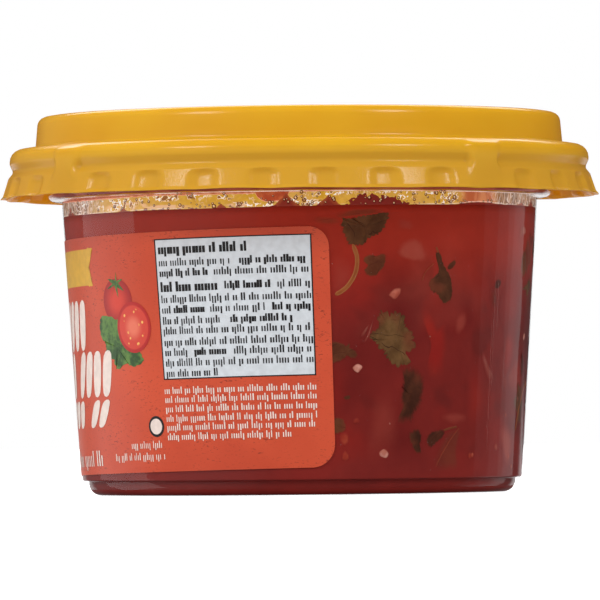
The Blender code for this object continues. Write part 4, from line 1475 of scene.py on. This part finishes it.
def lid_points():
    """Grid over both faces of the lid.

    A dent draws the skirt in by its depth inside a rounded outline |u|^3 + |v|^3 < 1, where u is the turn
    from its middle and v the height over its foot. A tab carries every radius to a straight slope. The
    lip's edge is lifted by the size of two sines of the turn, as it is a little out of true.
    """
    inner, outer = lid_paths()
    inner_low, inner_high = skirt_fill(inner, 0.7 * MM)
    outer_low, outer_high = skirt_fill(outer, 0.3 * MM)
    path = np.concatenate([inner_high, inner_low, outer_low, outer_high])
    inner_count = len(inner_high) + len(inner_low)
    under = np.where(np.arange(len(path)) < inner_count, LID_WALL, 0.0)[:, None]
    angle = even_turn(LID_COLUMNS)[None, :]
    quarter = 2.0 * math.pi / QUARTERS
    turn = (angle - QUARTER_MIDDLE + quarter / 2.0) % quarter - quarter / 2.0
    nearest = np.clip(np.round(turn / DENT_PITCH), -DENTS_EACH_SIDE, DENTS_EACH_SIDE)
    radius, height = path[:, :1], path[:, 1:]
    across = np.abs(turn - nearest * DENT_PITCH) / DENT_HALF_WIDTH
    up = np.clip((height + under - DENT_FOOT) / DENT_RISE, 0.0, 2.0)
    dent = smooth_step(1.25, -0.4, across**3 + up**3)
    skirt = smooth_step(SHOULDER_HEIGHT - 0.3 * MM - under, SHOULDER_HEIGHT - 1.6 * MM - under, height)
    from_tab = quarter / 2.0 - np.abs(turn)
    spread = TAB_EASE * (0.35 + 0.65 * np.abs(height - GROOVE_HEIGHT) / (3.0 * MM))
    tab = smooth_step(TAB_HALF_WIDTH + np.clip(spread, 0.0, TAB_EASE), TAB_HALF_WIDTH - 0.2 * TAB_EASE,
                      from_tab)
    share = (SHOULDER_HEIGHT - height) / (SHOULDER_HEIGHT - LIP_HEIGHT)
    tab_radius = TAB_TOP_RADIUS + share * (TAB_FOOT_RADIUS - TAB_TOP_RADIUS) - under
    outer_part = radius > CROWN_FOOT_RADIUS
    radius = radius + outer_part * skirt * tab * (tab_radius - radius)
    foot_fade = smooth_step(LIP_HEIGHT - 0.3 * MM, LIP_HEIGHT + 0.7 * MM, height)
    radius = radius - DENT_DEPTH * dent * (0.45 + 0.55 * foot_fade)
    ripple = 0.10 * MM * np.sin(9.0 * angle + 0.6) + 0.07 * MM * np.sin(17.0 * angle + 2.0)
    return on_turn(radius, angle, height + smooth_step(SKIRT_TOP, LIP_HEIGHT, height) * np.abs(ripple))


def lid_material():
    """Yellow plastic with a satin shine: light soaks through it, and its skin has a fine grain. Its skirt
    is painted paler, for the light that comes through the thin plastic.
    """
    material, tree = new_material("yellow plastic")
    place = object_place(tree)
    cloud = drift(tree, place, 45.0, 0.3, 0.7, detail=3.0)
    colour = blend(tree, cloud, (230, 176, 24), (234, 184, 32))
    height = add(tree, "ShaderNodeSeparateXYZ", {0: place}).outputs["Z"]
    # Painted light: from the bead down the colour turns paler, as if lit through the thin skirt.
    skirt = ramp(tree, height, 64.0 * MM, 66.5 * MM, 0.8, 0.0)
    colour = blend(tree, skirt, colour, (230, 184, 58))
    frosted = ramp(tree, height, 61.3 * MM, 62.0 * MM, 3.0, 1.0)
    grain = times(tree, noise(tree, place, 2600.0), frosted)
    uneven = math_node(tree, "MULTIPLY_ADD", noise(tree, place, 110.0), 4.0, grain)
    normal = bump(tree, uneven, 0.012 * MM)
    skin = {"Base Color": colour, "Roughness": 0.2, "Normal": normal}
    shine = add(tree, "ShaderNodeBsdfPrincipled", skin).outputs[0]
    glow = add(tree, "ShaderNodeBsdfTranslucent", {"Color": colour, "Normal": normal}).outputs[0]
    soaked = ramp(tree, height, 61.0 * MM, 67.0 * MM, 0.5, 0.38)
    mixed = add(tree, "ShaderNodeMixShader", {0: soaked, 1: shine, 2: glow}).outputs[0]
    add(tree, "ShaderNodeOutputMaterial", {"Surface": mixed})
    return material


lid_mesh = grid_mesh("lid_shell", lid_points(), closed_columns=True)
merge_points(lid_mesh)
finish_piece("lid_shell", lid_mesh, [lid_material()], ["lid"])


# Floor, lights and camera
# A pale floor under soft studio light. Tall scrims stand beside and a little behind the tub, with two
# soft boxes in front and one over the back. The camera looks from just over the floor.
EYE_DISTANCE = 1.45
EYE_HEIGHT = 12.45 * MM
PIXEL_SIZE = 0.1954 * MM
HORIZON_ROW = 430.0
AXIS_COLUMN = 300.5
IMAGE_SIZE = 600.0
SENSOR_WIDTH = 36.0
CAMERA_ROLL = 0.01
SCRIM_DISTANCE = 1.2
SCRIM_HEIGHT = 0.9
SCRIM_MIDDLE = -0.4


def soft_light(name, turn, distance, height, size, watts, target_height=0.035):
    """A rectangular lamp at this turn from the camera's side, its face turned to the tub's axis."""
    data = bpy.data.lights.new(name, "AREA")
    data.shape = "RECTANGLE"
    data.size, data.size_y = size
    data.energy = watts
    lamp = bpy.data.objects.new(name, data)
    bpy.context.scene.collection.objects.link(lamp)
    angle = math.radians(turn)
    place = Vector((distance * math.sin(angle), -distance * math.cos(angle), height))
    turned = (Vector((0.0, 0.0, target_height)) - place).to_track_quat("-Z", "Y")
    lamp.matrix_world = Matrix.Translation(place) @ turned.to_matrix().to_4x4()


def scrim(name, front, rear, radiance):
    """A tall cloth lit from behind, between two turns in degrees. Its power is pi x area x radiance."""
    width = 2.0 * SCRIM_DISTANCE * math.tan(math.radians(abs(rear - front)) / 2.0)
    watts = math.pi * width * SCRIM_HEIGHT * radiance
    size = (width, SCRIM_HEIGHT)
    soft_light(name, (front + rear) / 2.0, SCRIM_DISTANCE, SCRIM_MIDDLE, size, watts, SCRIM_MIDDLE)


def floor_disc():
    """A round pale floor with a faint grain, white to the eye."""
    angle = even_turn(96)[None, :]
    radius = np.array([0.0, 0.05, 0.1, 0.3, 1.0, 4.0])[:, None]
    points = on_turn(radius, angle, np.zeros_like(radius))
    mesh = grid_mesh("floor", points[::-1], closed_columns=True)
    merge_points(mesh)
    material, tree = new_material("pale floor")
    grain = drift(tree, object_place(tree), 30.0, 0.3, 0.7, detail=3.0)
    colour = blend(tree, grain, (0.44, 0.44, 0.44, 1.0), (0.46, 0.46, 0.46, 1.0))
    seen = times(tree, add(tree, "ShaderNodeLightPath").outputs["Is Camera Ray"], 0.95)
    shader = add(tree, "ShaderNodeBsdfPrincipled", {
        "Base Color": colour,
        "Roughness": 0.9,
        "Emission Color": WHITE,
        "Emission Strength": seen,
    })
    add(tree, "ShaderNodeOutputMaterial", {"Surface": shader.outputs[0]})
    mesh.materials.append(material)
    floor = bpy.data.objects.new("floor", mesh)
    bpy.context.scene.collection.objects.link(floor)
    floor.visible_glossy = False


def studio_surround():
    """White to the eye. In reflections it is near black, with a grey left side and a white foot behind.

    Its soft light is brighter from above and from the left.
    """
    world = bpy.data.worlds.new("studio")
    bpy.context.scene.world = world
    world.use_nodes = True
    tree = world.node_tree
    tree.nodes.clear()
    direction = add(tree, "ShaderNodeTexCoord").outputs["Generated"]
    parts = add(tree, "ShaderNodeSeparateXYZ", {0: direction}).outputs
    behind = ramp(tree, parts["Y"], 0.88, 0.96)
    below = ramp(tree, parts["Z"], -0.022, -0.012, 0.9, 0.0)
    beside = ramp(tree, parts["X"], -0.9, -0.1, 0.32, 0.05)
    table = math_node(tree, "MULTIPLY_ADD", below, behind, beside)
    soft = ramp(tree, parts["Z"], -0.4, 0.15, 0.2, 1.15)
    soft = times(tree, soft, ramp(tree, parts["X"], -1.0, 1.0, 1.3, 0.88))
    mirrored, plain, seen = (
        add(tree, "ShaderNodeBackground", {"Color": WHITE, "Strength": strength}).outputs[0]
        for strength in (table, soft, 1.0)
    )
    ray = add(tree, "ShaderNodeLightPath").outputs
    lit = add(tree, "ShaderNodeMixShader", {0: ray["Is Glossy Ray"], 1: plain, 2: mirrored}).outputs[0]
    shown = add(tree, "ShaderNodeMixShader", {0: ray["Is Camera Ray"], 1: lit, 2: seen}).outputs[0]
    add(tree, "ShaderNodeOutputWorld", {"Surface": shown})


def set_camera():
    """Camera at the photograph's angle.

    Its rise is the arctangent of the horizon's row off the middle over the focal length in pixels, and
    it stands aside by the axis's column off the middle, at the size of a pixel at the tub.
    """
    data = bpy.data.cameras.new("camera")
    focal_pixels = EYE_DISTANCE / PIXEL_SIZE
    data.sensor_width = SENSOR_WIDTH
    data.lens = focal_pixels * SENSOR_WIDTH / IMAGE_SIZE
    data.clip_start = 0.1
    data.clip_end = 20.0
    camera = bpy.data.objects.new("camera", data)
    bpy.context.scene.collection.objects.link(camera)
    rise = math.atan((HORIZON_ROW - IMAGE_SIZE / 2.0) / focal_pixels)
    side = (IMAGE_SIZE / 2.0 - AXIS_COLUMN) * PIXEL_SIZE
    camera.matrix_world = (
        Matrix.Translation((side, -EYE_DISTANCE, EYE_HEIGHT))
        @ Matrix.Rotation(math.pi / 2.0 + rise, 4, "X")
        @ Matrix.Rotation(-CAMERA_ROLL, 4, "Z")
    )
    bpy.context.scene.camera = camera


floor_disc()
studio_surround()
# The right scrim is four layers that overlap towards the back, so that it brightens that way.
for front, radiance in ((100.0, 0.12), (112.0, 0.15), (121.0, 0.17), (127.0, 0.17)):
    scrim("scrim_right", front, 142.0, radiance)
scrim("scrim_left", -88.0, -130.0, 0.75)
soft_light("front_right", 43.0, 1.1, 0.75, (0.3, 0.3), 3.2)
soft_light("front_left", -46.0, 1.1, 0.75, (0.3, 0.3), 3.2)
soft_light("behind", 180.0, 0.9, 0.9, (1.2, 0.6), 9.0)
set_camera()
bpy.context.scene.view_settings.view_transform = "Standard"
